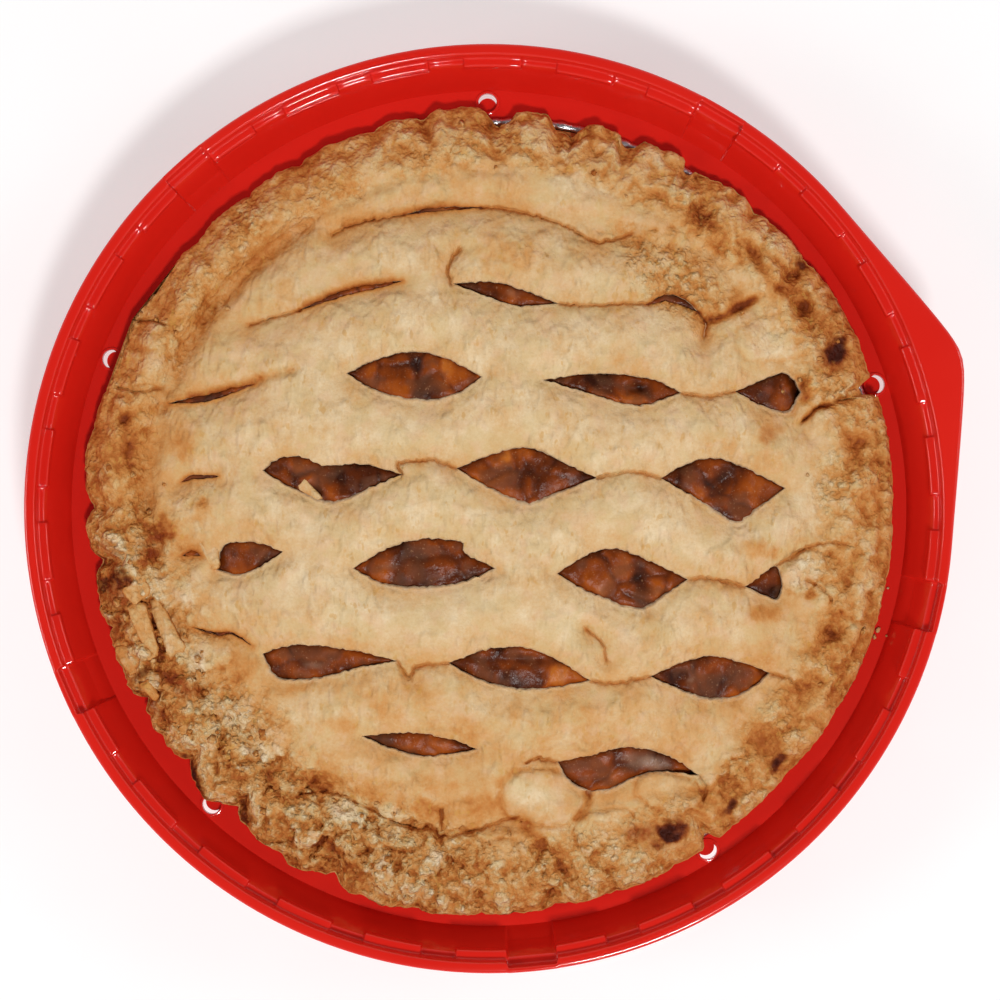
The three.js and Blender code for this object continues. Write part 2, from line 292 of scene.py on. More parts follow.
def fan_faces(ring, centre):
    """Triangles from a ring of point numbers to a centre, facing down for an anticlockwise ring."""
    return [(ring[(i + 1) % len(ring)], ring[i], centre) for i in range(len(ring))]


def side_faces(count, rings):
    """The bands of quads between rings of count points, numbered from the top ring down."""
    faces = []
    for ring in range(rings - 1):
        upper = list(range(ring * count, (ring + 1) * count))
        faces += ring_faces(upper, [corner + count for corner in upper])
    return faces


def stacked(rings, top, bottom):
    """Points and faces of a lump: rings from the top down, closed by a point at either end."""
    count = len(rings[0])
    points = np.vstack([*rings, [top], [bottom]])
    first = list(range(count))
    last = [corner + (len(rings) - 1) * count for corner in first]
    caps = fan_faces(first[::-1], len(points) - 2) + fan_faces(last, len(points) - 1)
    return points, side_faces(count, len(rings)) + caps


def revolved(sections):
    """Points and faces of a dish from its sections round the middle, each of which runs from the
    underside's hub out and back to the hub above."""
    count, levels, _ = sections.shape
    numbers = np.arange(count * levels).reshape(count, levels)
    faces = []
    for level in range(levels - 1):
        faces += ring_faces(numbers[:, level + 1].tolist(), numbers[:, level].tolist())
    hubs = [[0, 0, sections[0, 0, 2]], [0, 0, sections[0, -1, 2]]]
    points = np.vstack([sections.reshape(-1, 3), hubs])
    faces += fan_faces(numbers[:, 0].tolist(), len(points) - 2)
    faces += fan_faces(numbers[::-1, -1].tolist(), len(points) - 1)
    return points, faces


def joined(shapes):
    """The points and faces of several shapes as those of one."""
    faces = []
    start = 0
    for corners, shape_faces in shapes:
        faces += [tuple(start + corner for corner in face) for face in shape_faces]
        start += len(corners)
    return np.vstack([corners for corners, _ in shapes]), faces


def plain_mesh(shapes):
    """One mesh of several shapes of points and faces."""
    points, faces = joined(shapes)
    mesh = bpy.data.meshes.new("shapes")
    mesh.from_pydata((points * MM).tolist(), [], faces)
    return mesh


def rounded(section, radii):
    """A closed [radius, height] section with its corners replaced by arcs of the given radii."""
    corners = []
    count = len(section)
    for index, (corner, radius) in enumerate(zip(section, radii)):
        if radius == 0:
            corners.append(corner)
            continue
        before = section[index - 1] - corner
        after = section[(index + 1) % count] - corner
        room = SIDE_SHARE * min(np.linalg.norm(before), np.linalg.norm(after))
        start = corner + before / np.linalg.norm(before) * min(radius, room)
        end = corner + after / np.linalg.norm(after) * min(radius, room)
        for t in np.linspace(0, 1, ARC_POINTS):
            corners.append((1 - t) ** 2 * start + 2 * t * (1 - t) * corner + t**2 * end)
    return np.array(corners)


class Shell:
    """A solid that grows down from the mesh of its top, with a shade at each point."""

    def __init__(self, top, faces):
        self.points = top
        self.faces = faces.tolist()
        self.shades = np.zeros(len(top))

    def add(self, points, shade=0.0):
        """Adds points and gives their numbers."""
        start = len(self.points)
        self.points = np.vstack([self.points, points])
        self.shades = np.append(self.shades, np.full(len(points), shade))
        return list(range(start, len(self.points)))

    def grow(self, row, points, shade=0.0):
        """Adds a row of points below another, with a band of faces between them."""
        lower = self.add(points, shade)
        self.faces += ring_faces(row, lower)
        return lower

    def grow_down(self, row, rings, angles, shade=0.0):
        """Grows rings of a radius and a height below a row, and closes the last with a fan."""
        for radius, height in rings:
            row = self.grow(row, ring_at(radius, height, angles), shade)
        middle = self.add([[0, 0, height]], shade)[0]
        self.faces += fan_faces(row, middle)


def full_masks(masks, total, below):
    """The top's masks, carried on to a total of points: 0 where below doesn't say otherwise."""
    carried = {}
    for name, values in masks.items():
        rest = np.zeros(total - len(values)) + below.get(name, 0)
        carried[name] = np.concatenate([values, rest])
    return carried


# ---- finishes -----------------------------------------------------------------------------


class Signal:
    """A value in a recipe. Sums on signals add Math nodes."""

    def __init__(self, recipe, socket):
        self.recipe = recipe
        self.socket = socket

    def sum_with(self, operation, first, second):
        return self.recipe.add("Math", {"operation": operation}, {0: first, 1: second})

    def __add__(self, other):
        return self.sum_with("ADD", self, other)

    def __sub__(self, other):
        return self.sum_with("SUBTRACT", self, other)

    def __rsub__(self, other):
        return self.sum_with("SUBTRACT", other, self)

    def __mul__(self, other):
        return self.sum_with("MULTIPLY", self, other)

    __radd__ = __add__
    __rmul__ = __mul__

    def between(self, low, high):
        """0 where the value is low, 1 where it is high, clamped."""
        settings = {"clamp": True, "interpolation_type": "SMOOTHSTEP"}
        return self.recipe.add("MapRange", settings, {0: self, 1: low, 2: high})


class Recipe:
    """The nodes of a material or of the world."""

    def __init__(self, tree):
        self.nodes = tree.nodes
        self.links = tree.links

    def add(self, kind, settings=None, sockets=None, output=0):
        """Adds a node of a kind, makes its settings, then fills or links its sockets."""
        node = self.nodes.new("ShaderNode" + kind)
        for name, value in (settings or {}).items():
            if name == "stops":
                self.set_stops(node.color_ramp, value)
            else:
                setattr(node, name, value)
        for name, value in (sockets or {}).items():
            self.feed(node.inputs[name], value)
        return Signal(self, node.outputs[output])

    @staticmethod
    def set_stops(ramp, stops):
        while len(ramp.elements) < len(stops):
            ramp.elements.new(1.0)
        for element, (position, tint) in zip(ramp.elements, stops):
            element.position = position
            element.color = (*tint, 1.0)

    def feed(self, socket, value):
        """Links a signal to a socket, or sets the socket to a number or colour."""
        if isinstance(value, Signal):
            self.links.new(value.socket, socket)
        elif socket.type == "RGBA":
            socket.default_value = (*value, 1.0)
        else:
            socket.default_value = value


class Finish(Recipe):
    """A material under construction: one shader and the nodes that feed it."""

    def __init__(self, name, **constants):
        self.material = bpy.data.materials.new(name)
        self.material.use_nodes = True
        super().__init__(self.material.node_tree)
        self.shader = self.nodes["Principled BSDF"]
        self.feed_shader(**constants)
        self.place = self.add("TexCoord", output="Object")

    def feed_shader(self, **sockets):
        """Feeds the shader's sockets, which are named with _ for each space."""
        for socket, value in sockets.items():
            self.feed(self.shader.inputs[socket.replace("_", " ")], value)
        return self.material

    def mask(self, name):
        return self.add("Attribute", {"attribute_name": name}, output="Fac")

    def vector(self, operation, first, second):
        return self.add("VectorMath", {"operation": operation}, {0: first, 1: second})

    def scaled(self, size, stretch=(1, 1, 1), seed=0.0):
        """The place on the object in units of a size in millimetres, away from other seeds."""
        spot = self.vector("MULTIPLY", self.place, [1 / (MM * size * part) for part in stretch])
        return self.vector("ADD", spot, (seed, seed, seed))

    def grain(self, size, detail=3.0, stretch=(1, 1, 1), roughness=0.55, seed=0.0):
        """Noise from 0 to 1 with grains of a size in millimetres, longer along a stretch."""
        sockets = {"Vector": self.scaled(size, stretch, seed), "Scale": 1.0, "Detail": detail}
        return self.add("TexNoise", None, {**sockets, "Roughness": roughness})

    def clods(self, size, seed):
        """Crumbs of a size and uneven shape: 1 on top of each and 0 in the creases between."""
        spot = self.scaled(size, seed=seed)
        bend = self.add("TexNoise", None, {"Vector": spot, "Scale": 1.4, "Detail": 1.0}, output="Color")
        sockets = {"Vector": self.vector("ADD", spot, bend), "Scale": 1.0}
        reach = self.add("TexVoronoi", None, sockets, output="Distance")
        return 1 - reach.between(0.05, 0.85)

    def ramp(self, value, stops):
        return self.add("ValToRGB", {"stops": stops}, {"Fac": value})

    def blend(self, share, first, second):
        """The first colour, with a share of the second laid over it."""
        settings = {"data_type": "RGBA", "clamp_factor": True}
        return self.add("Mix", settings, {0: share, 6: first, 7: second}, output=2)

    def bump(self, height, depth):
        """A bump whose height signal of 1 stands for a depth in millimetres."""
        return self.add("Bump", None, {"Height": height, "Distance": depth * MM, "Strength": 1.0})


def colour(red, green, blue):
    """Linear colour from 8-bit screen values."""
    screen = np.array([red, green, blue]) / 255
    return tuple(np.where(screen < 0.04045, screen / 12.92, ((screen + 0.055) / 1.055) ** 2.4))


# Pastry from hardly baked to nearly burnt. The darker stops also give the painted shade in the crust's
# dips.
PASTRY_BROWNS = [
    (0.0, colour(240, 216, 178)),
    (0.12, colour(229, 199, 155)),
    (0.22, colour(221, 183, 133)),
    (0.32, colour(216, 167, 109)),
    (0.44, colour(210, 151, 88)),
    (0.56, colour(201, 133, 67)),
    (0.70, colour(184, 109, 47)),
    (0.85, colour(160, 82, 29)),
    (1.0, colour(124, 54, 16)),
]

# Syrup from deep shade to a slice near the top.
SYRUP_BROWNS = [
    (0.0, colour(52, 20, 7)),
    (0.3, colour(92, 37, 8)),
    (0.55, colour(132, 57, 10)),
    (0.8, colour(164, 78, 16)),
    (1.0, colour(190, 106, 36)),
]


def toned_pastry(finish, brownness_and_shade, puckered):
    """Browned pastry with olive and rosy casts where it is pale, and amber flecks in its puckers."""
    olive = finish.grain(8.0, 2, seed=23.0).between(0.46, 0.62)
    rosy = finish.grain(6.0, 2, seed=25.0).between(0.52, 0.66)
    amber = finish.grain(2.2, 2, stretch=(1, 1.8, 1), seed=27.0).between(0.60, 0.70)
    light = 1 - brownness_and_shade.between(0.28, 0.48)
    baked = finish.ramp(brownness_and_shade, PASTRY_BROWNS)
    toned = finish.blend(0.36 * olive * light, baked, colour(210, 182, 126))
    warmed = finish.blend(0.30 * rosy * light, toned, colour(228, 184, 146))
    return finish.blend(0.50 * amber * puckered, warmed, colour(206, 152, 72))


def stained_pastry(finish, plain, speck):
    """Pastry with rusty stains, flaky cut edges and burnt places where its masks say so."""
    flake = finish.blend(speck, colour(226, 200, 164), colour(186, 150, 112))
    rusty = finish.blend(finish.mask("rust"), plain, colour(148, 58, 20))
    cut = finish.blend(finish.mask("cut"), rusty, flake)
    return finish.blend(finish.mask("burn"), cut, colour(66, 22, 9))


def baked_pastry():
    """Cream to golden brown shortcrust, puckered where it is whole and broken where the crumb
    mask says so, with painted shade in the creases between crumbs and in the dips of the puckers."""
    finish = Finish("baked_pastry", IOR=1.4, Specular_IOR_Level=0.22)
    crumb = finish.mask("crumb")
    flour = finish.grain(3.4, 4, seed=3.0)
    speck = finish.grain(0.8, 3, seed=7.0)
    cloud = finish.grain(17.0, 3, seed=11.0)
    pucker = finish.grain(2.9, 1.2, stretch=(1, 2.0, 1), seed=13.0)
    puckered = finish.grain(16.0, 2, seed=17.0).between(0.36, 0.54)
    clods = finish.clods(3.4, seed=31.0)
    crumbs = finish.clods(1.5, seed=33.0)

    unevenness = 0.20 * (flour - 0.5) + 0.20 * (speck - 0.5) + 0.28 * (cloud - 0.5)
    # Browner in the creases between crumbs and paler on their tops: painted shade that follows the bump.
    broken = crumb * (0.20 - 0.30 * clods - 0.22 * crumbs)
    # Browner in the dips of the puckers and paler on their crests: painted shade that follows the bump.
    pucker_shade = 0.24 * puckered * (1 - crumb) * (0.5 - pucker)
    brownness_and_shade = finish.mask("bake") + unevenness + broken + pucker_shade
    stained = stained_pastry(finish, toned_pastry(finish, brownness_and_shade, puckered), speck)

    whole = (0.35 + 0.65 * puckered) * (1 - crumb)
    relief = 2.0 * pucker * whole + crumb * (1.2 * clods + 0.5 * crumbs)
    relief = relief + 0.28 * finish.grain(1.2, 3, seed=5.0) + 0.10 * finish.grain(0.45, 2, seed=9.0)
    roughness = 0.60 + 0.2 * (flour - 0.5) - 0.05 * finish.mask("burn")
    return finish.feed_shader(Base_Color=stained, Roughness=roughness, Normal=finish.bump(relief, 1.0))


def cooked_apple():
    """Wet apple in dark syrup, with painted light on the slices near the top and painted shade in the
    seams and pits between them.
    """
    finish = Finish("cooked_apple", IOR=1.4, Specular_IOR_Level=0.26)
    fibre = finish.grain(1.5, 3, stretch=(1, 2.0, 1), seed=2.0)
    patch = finish.grain(11.0, 2, seed=4.0)
    dull = finish.grain(8.0, 2, seed=14.0).between(0.48, 0.62)
    bubbles = finish.grain(0.7, 2, seed=6.0).between(0.62, 0.74)
    # The bright mask is painted light on high slices and painted shade in seams and pits.
    tone = 0.42 * finish.mask("bright") + 1.7 * (patch - 0.5) + 0.22 * (fibre - 0.5) + 0.24
    dulled = finish.blend(0.5 * dull, finish.ramp(tone, SYRUP_BROWNS), colour(98, 56, 30))
    pale = finish.blend(finish.mask("pale"), dulled, colour(176, 142, 118))
    bubbly = finish.blend(bubbles * 0.34, pale, colour(196, 146, 106))
    relief = 0.7 * finish.grain(6.0, 2, seed=12.0) + 0.14 * fibre
    relief = relief + 0.10 * finish.grain(0.6, 2, seed=8.0)
    roughness = 0.20 + 0.3 * dull + 0.2 * patch
    return finish.feed_shader(Base_Color=bubbly, Roughness=roughness, Normal=finish.bump(relief, 1.0))


def red_plastic():
    """Glossy moulded plastic with a faint wave in its surface and fine scuffs."""
    finish = Finish("red_plastic", IOR=1.5)
    wave = finish.grain(22.0, 2, seed=1.0)
    haze = finish.grain(40.0, 3, seed=2.0)
    tint = finish.blend(haze, colour(218, 28, 18), colour(226, 38, 26))
    scuffs = finish.grain(1.4, 5, stretch=(1, 6, 1), roughness=0.7, seed=6.0).between(0.62, 0.8)
    roughness = 0.08 + 0.05 * haze + 0.06 * scuffs
    return finish.feed_shader(Base_Color=tint, Roughness=roughness, Normal=finish.bump(wave, 0.15))


def tin_foil():
    """Thin bright aluminium foil with fine creases."""
    finish = Finish("tin_foil", IOR=1.45, Metallic=1.0)
    crease = finish.grain(2.4, 4, roughness=0.65, seed=3.0)
    smear = finish.grain(9.0, 3, seed=5.0)
    tint = finish.blend(smear, colour(212, 213, 216), colour(188, 189, 192))
    roughness = 0.2 + 0.2 * smear
    return finish.feed_shader(Base_Color=tint, Roughness=roughness, Normal=finish.bump(crease, 0.5))


def pale_floor():
    """White paper, a little brighter than its light makes it."""
    finish = Finish("pale_floor", Emission_Strength=0.42, Roughness=0.8)
    mottle = finish.grain(60.0, 2)
    paper = finish.blend(mottle, colour(206, 206, 206), colour(212, 212, 212))
    glow = finish.blend(mottle, colour(252, 252, 252), colour(255, 255, 255))
    return finish.feed_shader(Base_Color=paper, Emission_Color=glow)


# ---- tray ---------------------------------------------------------------------------------

HUB_RADIUS = 30.0  # of the flat fan in the middle of a dish
COLUMN_PITCH = 1.25  # from one of the tray's evenly spaced columns to the next
EDGE_TURN = 0.12  # from a moulded edge to the nearest columns either side of it
EDGE_CLEARANCE = 0.6  # from a moulded edge to the nearest evenly spaced column
SHARP_ANGLE = 38  # between faces that meet in a sharp edge
WALL = 2.2
RIM_STEP_RADIUS = 138.2
SHELF_TOP = 45.0
SHELF_INNER_RADIUS = 136.5
LEDGE_OUTER_RADIUS = 130.7
LEDGE_INNER_RADIUS = 114.6
FLOOR_RADIUS = 93.8
FLOOR_TOP = 2.4
BLOCK_COUNT = 30
BLOCK_FIRST_ANGLE = 5.5
BLOCK_SPAN = 7.5
BLOCK_INNER_RADIUS = 135.3
BLOCK_RISE = 1.5
NOTCH_COUNT = 5
NOTCH_FIRST_ANGLE = 59.5
NOTCH_HALF_WIDTH = 7.5
NOTCH_HALF_ANGLE = math.degrees(math.asin(NOTCH_HALF_WIDTH / SHELF_INNER_RADIUS))
NOTCH_BACK_RADIUS = 140.0
TAB_ANGLE = 18.0
TAB_TANGENT_ANGLE = 23.0
TAB_BLUNTNESS = 2.2
TAB_THICKNESS = 2.8
DRAIN_ANGLES = (17.8, 90.2, 158.4, 226.9, 302.6)
DRAIN_CIRCLE_RADIUS = 126.2
DRAIN_RADIUS = 2.9
DRAIN_DEPTH = 1.4
COLLAR_RADIUS = 3.7
COLLAR_RISE = 0.6
SLOT_WIDTH = 1.3


def notch_angles():
    return [NOTCH_FIRST_ANGLE + index * 360 / NOTCH_COUNT for index in range(NOTCH_COUNT)]


def tray_angles():
    """Column angles: evenly spaced, with more at each edge of a block or notch."""
    edges = []
    for index in range(BLOCK_COUNT):
        middle = BLOCK_FIRST_ANGLE + index * 360 / BLOCK_COUNT
        edges += [middle - BLOCK_SPAN / 2, middle + BLOCK_SPAN / 2]
    for middle in notch_angles():
        edges += [middle - NOTCH_HALF_ANGLE, middle + NOTCH_HALF_ANGLE]
    kept = []
    for angle in np.arange(0.0, 360.0, COLUMN_PITCH):
        if min(abs(turn_between(angle, edge)) for edge in edges) > EDGE_CLEARANCE:
            kept.append(angle)
    for edge in edges:
        kept += [(edge + step * EDGE_TURN) % 360 for step in (-2.5, -1, 1, 2.5)]
    return np.array(sorted(kept))


def moulded(away, half):
    """1 within half of the middle of a moulded shape and 0 outside it, with a steep edge."""
    return 1 - rise(away, half - 1.5 * EDGE_TURN, half + 1.5 * EDGE_TURN)


def block_share(angle):
    """1 on a stop block and 0 in the gap between two."""
    return moulded(abs(turn_between(angle, BLOCK_FIRST_ANGLE, 360 / BLOCK_COUNT)), BLOCK_SPAN / 2)


def notch_share(angle):
    """1 in a notch and 0 outside it, and the stretch of radius that keeps its back straight."""
    away = min(abs(turn_between(angle, middle)) for middle in notch_angles())
    return moulded(away, NOTCH_HALF_ANGLE), 1 / math.cos(math.radians(min(away, NOTCH_HALF_ANGLE)))


def tab_radius(angle):
    """The rim's outer radius, which grows into the grip tab."""
    away = abs(turn_between(angle, TAB_ANGLE))
    if away >= TAB_TANGENT_ANGLE:
        return TRAY_RADIUS
    blunt = math.hypot(away, TAB_BLUNTNESS)
    return max(TRAY_RADIUS, TRAY_RADIUS / math.cos(math.radians(TAB_TANGENT_ANGLE - blunt)))


def tray_section(angle):
    """The tray's section at an angle, from the underside's centre round to the floor's: corners
    of a radius and a height, and the radius of the arc at each."""
    block = block_share(angle)
    notch, stretch = notch_share(angle)
    outer = tab_radius(angle)
    tab = min(1, (outer - TRAY_RADIUS) / 2)

    def pick(plain, notched):
        """A corner between its place on the plain wall and its place in a notch."""
        return (1 - notch) * np.array(plain) + notch * np.array(notched) * (stretch, 1)

    under = LEDGE_TOP - WALL
    shelf = SHELF_TOP + block * BLOCK_RISE
    lip = TRAY_TOP - 4
    foot = pick((LEDGE_OUTER_RADIUS + 2.0, LEDGE_TOP + 6), (LEDGE_OUTER_RADIUS + 3.0, LEDGE_TOP + 5.4))
    corners = [
        ((HUB_RADIUS, 0), 0),
        ((FLOOR_RADIUS, 0), 1.5),
        ((FLOOR_RADIUS + 4, 1.6), 2),
        ((LEDGE_INNER_RADIUS + 1.3, under), 3),
        (pick((LEDGE_OUTER_RADIUS + 1.6, under), (LEDGE_OUTER_RADIUS + 3.6, under + 1)), 2),
        (pick((RIM_STEP_RADIUS, SHELF_TOP - WALL), (TRAY_RADIUS - 1.2, SHELF_TOP - 2.5)), 1),
        (pick((TRAY_RADIUS - 1.8, SHELF_TOP - WALL), (TRAY_RADIUS - 0.9, SHELF_TOP - 1)), 0.8),
        (pick((TRAY_RADIUS - 1.8, lip), (TRAY_RADIUS - 0.8, lip)), 0.3),
        ((TRAY_RADIUS, lip), 0.4),
        ((TRAY_RADIUS, TRAY_TOP - TAB_THICKNESS - 0.3), 0.2),
        ((outer, TRAY_TOP - TAB_THICKNESS), 0.3 + 0.3 * tab),
        ((outer, TRAY_TOP), 1.1 + 1.2 * tab),
        (pick((RIM_STEP_RADIUS + 0.4, TRAY_TOP), (NOTCH_BACK_RADIUS + 0.2, TRAY_TOP)), 0.8),
        (pick((RIM_STEP_RADIUS - 0.1, shelf), (NOTCH_BACK_RADIUS, SHELF_TOP + 0.1)), 0.7),
        (pick((SHELF_INNER_RADIUS - 1.2 * block, shelf), (SHELF_INNER_RADIUS + 1.2, SHELF_TOP)), 0.9),
        (pick((BLOCK_INNER_RADIUS, 42.4), (SHELF_INNER_RADIUS - 1.2, 40)), 0.6),
        (foot, 0.5),
        ((LEDGE_OUTER_RADIUS - 0.8, LEDGE_TOP), 0),
        ((LEDGE_INNER_RADIUS, LEDGE_TOP), 1.2),
        ((FLOOR_RADIUS + 3.2, FLOOR_TOP + 1.6), 2),
        ((FLOOR_RADIUS, FLOOR_TOP), 1.5),
        ((HUB_RADIUS, FLOOR_TOP), 0),
    ]
    section = np.array([np.array(corner, float) for corner, _ in corners])
    return rounded(section, [radius for _, radius in corners])


def prism(outline, rows):
    """A closed solid whose outline in plan is grown by an amount at each height, from the top."""
    count = len(outline)
    away = outline - outline.mean(0)
    away /= np.linalg.norm(away, axis=1)[:, None]
    points = []
    for growth, level in rows:
        points.append(np.column_stack([outline + growth * away, np.full(count, level)]))
    last = (len(rows) - 1) * count
    top = tuple(range(count))
    bottom = tuple(range(last + count - 1, last - 1, -1))
    return np.vstack(points), [top, *side_faces(count, len(rows)), bottom]


def carved(mesh, operation, shapes):
    """The mesh after a Boolean operation with some shapes."""
    base = add_object("base", mesh)
    tool = add_object("tool", plain_mesh(shapes))
    step = base.modifiers.new("step", "BOOLEAN")
    step.operation = operation
    step.object = tool
    step.solver = "MANIFOLD"
    result = bpy.data.meshes.new_from_object(base.evaluated_get(bpy.context.evaluated_depsgraph_get()))
    for thing in (base, tool):
        bpy.data.objects.remove(thing)
    return result


def drain_outline(radius, turn):
    return circle(radius, 32) + around(DRAIN_CIRCLE_RADIUS, turn)


def crescent(turn):
    """The slot's outline: the part of the recess outside the same circle moved inwards."""
    lean = math.degrees(math.acos(SLOT_WIDTH / 2 / DRAIN_RADIUS))
    spans = np.linspace(-lean, lean, 17)
    outer = around(DRAIN_RADIUS, turn + spans) + around(DRAIN_CIRCLE_RADIUS, turn)
    inner = around(DRAIN_RADIUS, turn + spans[::-1]) + around(DRAIN_CIRCLE_RADIUS - SLOT_WIDTH, turn)
    return np.vstack([outer, inner[1:-1]])


def add_drains(mesh):
    """Collared recesses in the ledge, each with a crescent slot right through its floor."""
    top = LEDGE_TOP + COLLAR_RISE
    collar_rows = [(-0.3, top), (-0.08, top - 0.08), (0.0, top - 0.3), (0.3, LEDGE_TOP - 1)]
    bowl_rows = [(0.3, top + 1), (0.0, top - 0.3), (0.0, LEDGE_TOP - DRAIN_DEPTH)]
    slot_rows = [(0.0, LEDGE_TOP), (0.0, LEDGE_TOP - WALL - 2)]
    collars = [prism(drain_outline(COLLAR_RADIUS, turn), collar_rows) for turn in DRAIN_ANGLES]
    bowls = [prism(drain_outline(DRAIN_RADIUS, turn), bowl_rows) for turn in DRAIN_ANGLES]
    slots = [prism(crescent(turn), slot_rows) for turn in DRAIN_ANGLES]
    mesh = carved(mesh, "UNION", collars)
    mesh = carved(mesh, "DIFFERENCE", bowls)
    return carved(mesh, "DIFFERENCE", slots)


def make_tray(finish):
    """The tray: its section turned round the middle, with the drains cut in its ledge."""
    columns = []
    for angle in tray_angles():
        section = tray_section(angle)
        columns.append(np.column_stack([around(section[:, 0], angle), section[:, 1]]))
    mesh = add_drains(plain_mesh([revolved(np.array(columns))]))
    mesh.shade_smooth()
    mesh.set_sharp_from_angle(angle=math.radians(SHARP_ANGLE))
    place_piece("carrier_tray", mesh, finish, ("tray",))


# ---- tin ----------------------------------------------------------------------------------

PLEAT_COUNT = 150
PLEAT_DEPTH = 0.7
TIN_COLUMNS = 900
TIN_BASE_RADIUS = 91.0
TIN_LIP_RADIUS = 112.2
TIN_LIP_HEIGHT = LEDGE_TOP + 0.3
TIN_BEAD_RADIUS = 1.15
FOIL = 0.35
TIN_WALL_SHARES = (0.04, 0.2, 0.4, 0.6, 0.8, 0.97)  # of the wall's height, for its rings of points

# Sides where the tin was handled: the middle's angle, half the width and the fade beyond it.
PRESSED_SIDES = [(132, 34, 18), (210, 34, 14)]


def tin_edge(angle):
    """The rolled edge's outer radius, pressed in by hand where the tin was handled."""
    pressed = 1.7 * np.maximum(*(sector(angle, *side) for side in PRESSED_SIDES))
    return TIN_RADIUS - 0.3 - pressed + 0.35 * lumps(around(14.0, angle), 3.0, 2, seed=4.0)


def tin_wall(share, pleat):
    """The radius and height of the pleated wall at a share of its height."""
    radius = TIN_BASE_RADIUS + 1 + share * (TIN_LIP_RADIUS - TIN_BASE_RADIUS - 1)
    height = TIN_LOW + share * (TIN_LIP_HEIGHT - TIN_LOW)
    return radius + PLEAT_DEPTH * pleat * math.sin(math.pi * share), height


def tin_bead(turn, edge, crinkle):
    """The radius and height of the rolled edge at a turn about its own middle."""
    across, up = cos_sin(turn)
    size = TIN_BEAD_RADIUS + crinkle
    height = np.minimum(TIN_LIP_HEIGHT + TIN_BEAD_RADIUS + size * up, TIN_TOP + 0.1)
    return edge - TIN_BEAD_RADIUS + size * across, height


def make_tin(finish):
    """The tin: out along its underside, up the pleated wall, round the bead and back inside."""
    angles = np.arange(TIN_COLUMNS) * 360 / TIN_COLUMNS
    edge = tin_edge(angles)
    wander = 2 * lumps(around(20.0, angles), 9.0, 2)
    pleat = 0.5 + 0.5 * np.cos(np.radians(angles) * PLEAT_COUNT + wander)
    crinkle = 0.22 * pleat + 0.2 * lumps(around(60.0, angles), 1.2, 2, seed=9.0)
    outer_wall = [tin_wall(share, pleat) for share in TIN_WALL_SHARES]
    inner_wall = [(radius - FOIL, height + FOIL) for radius, height in reversed(outer_wall)]
    rows = [
        (HUB_RADIUS, TIN_LOW),
        (TIN_BASE_RADIUS - 1, TIN_LOW),
        *outer_wall,
        (edge - 2.6, TIN_LIP_HEIGHT),
        *(tin_bead(turn, edge, crinkle) for turn in range(-80, 200, 35)),
        (edge - 2.9, TIN_LIP_HEIGHT + FOIL),
        *inner_wall,
        (TIN_BASE_RADIUS - 1.2, TIN_LOW + FOIL),
        (HUB_RADIUS, TIN_LOW + FOIL),
    ]
    rings = np.array([ring_at(radius, height, angles) for radius, height in rows])
    points, faces = revolved(rings.transpose(1, 0, 2))
    make_piece("foil_pie_tin", points, faces, finish, stands_for=("foil_tin",))


# ---- the lid's layout ---------------------------------------------------------------------

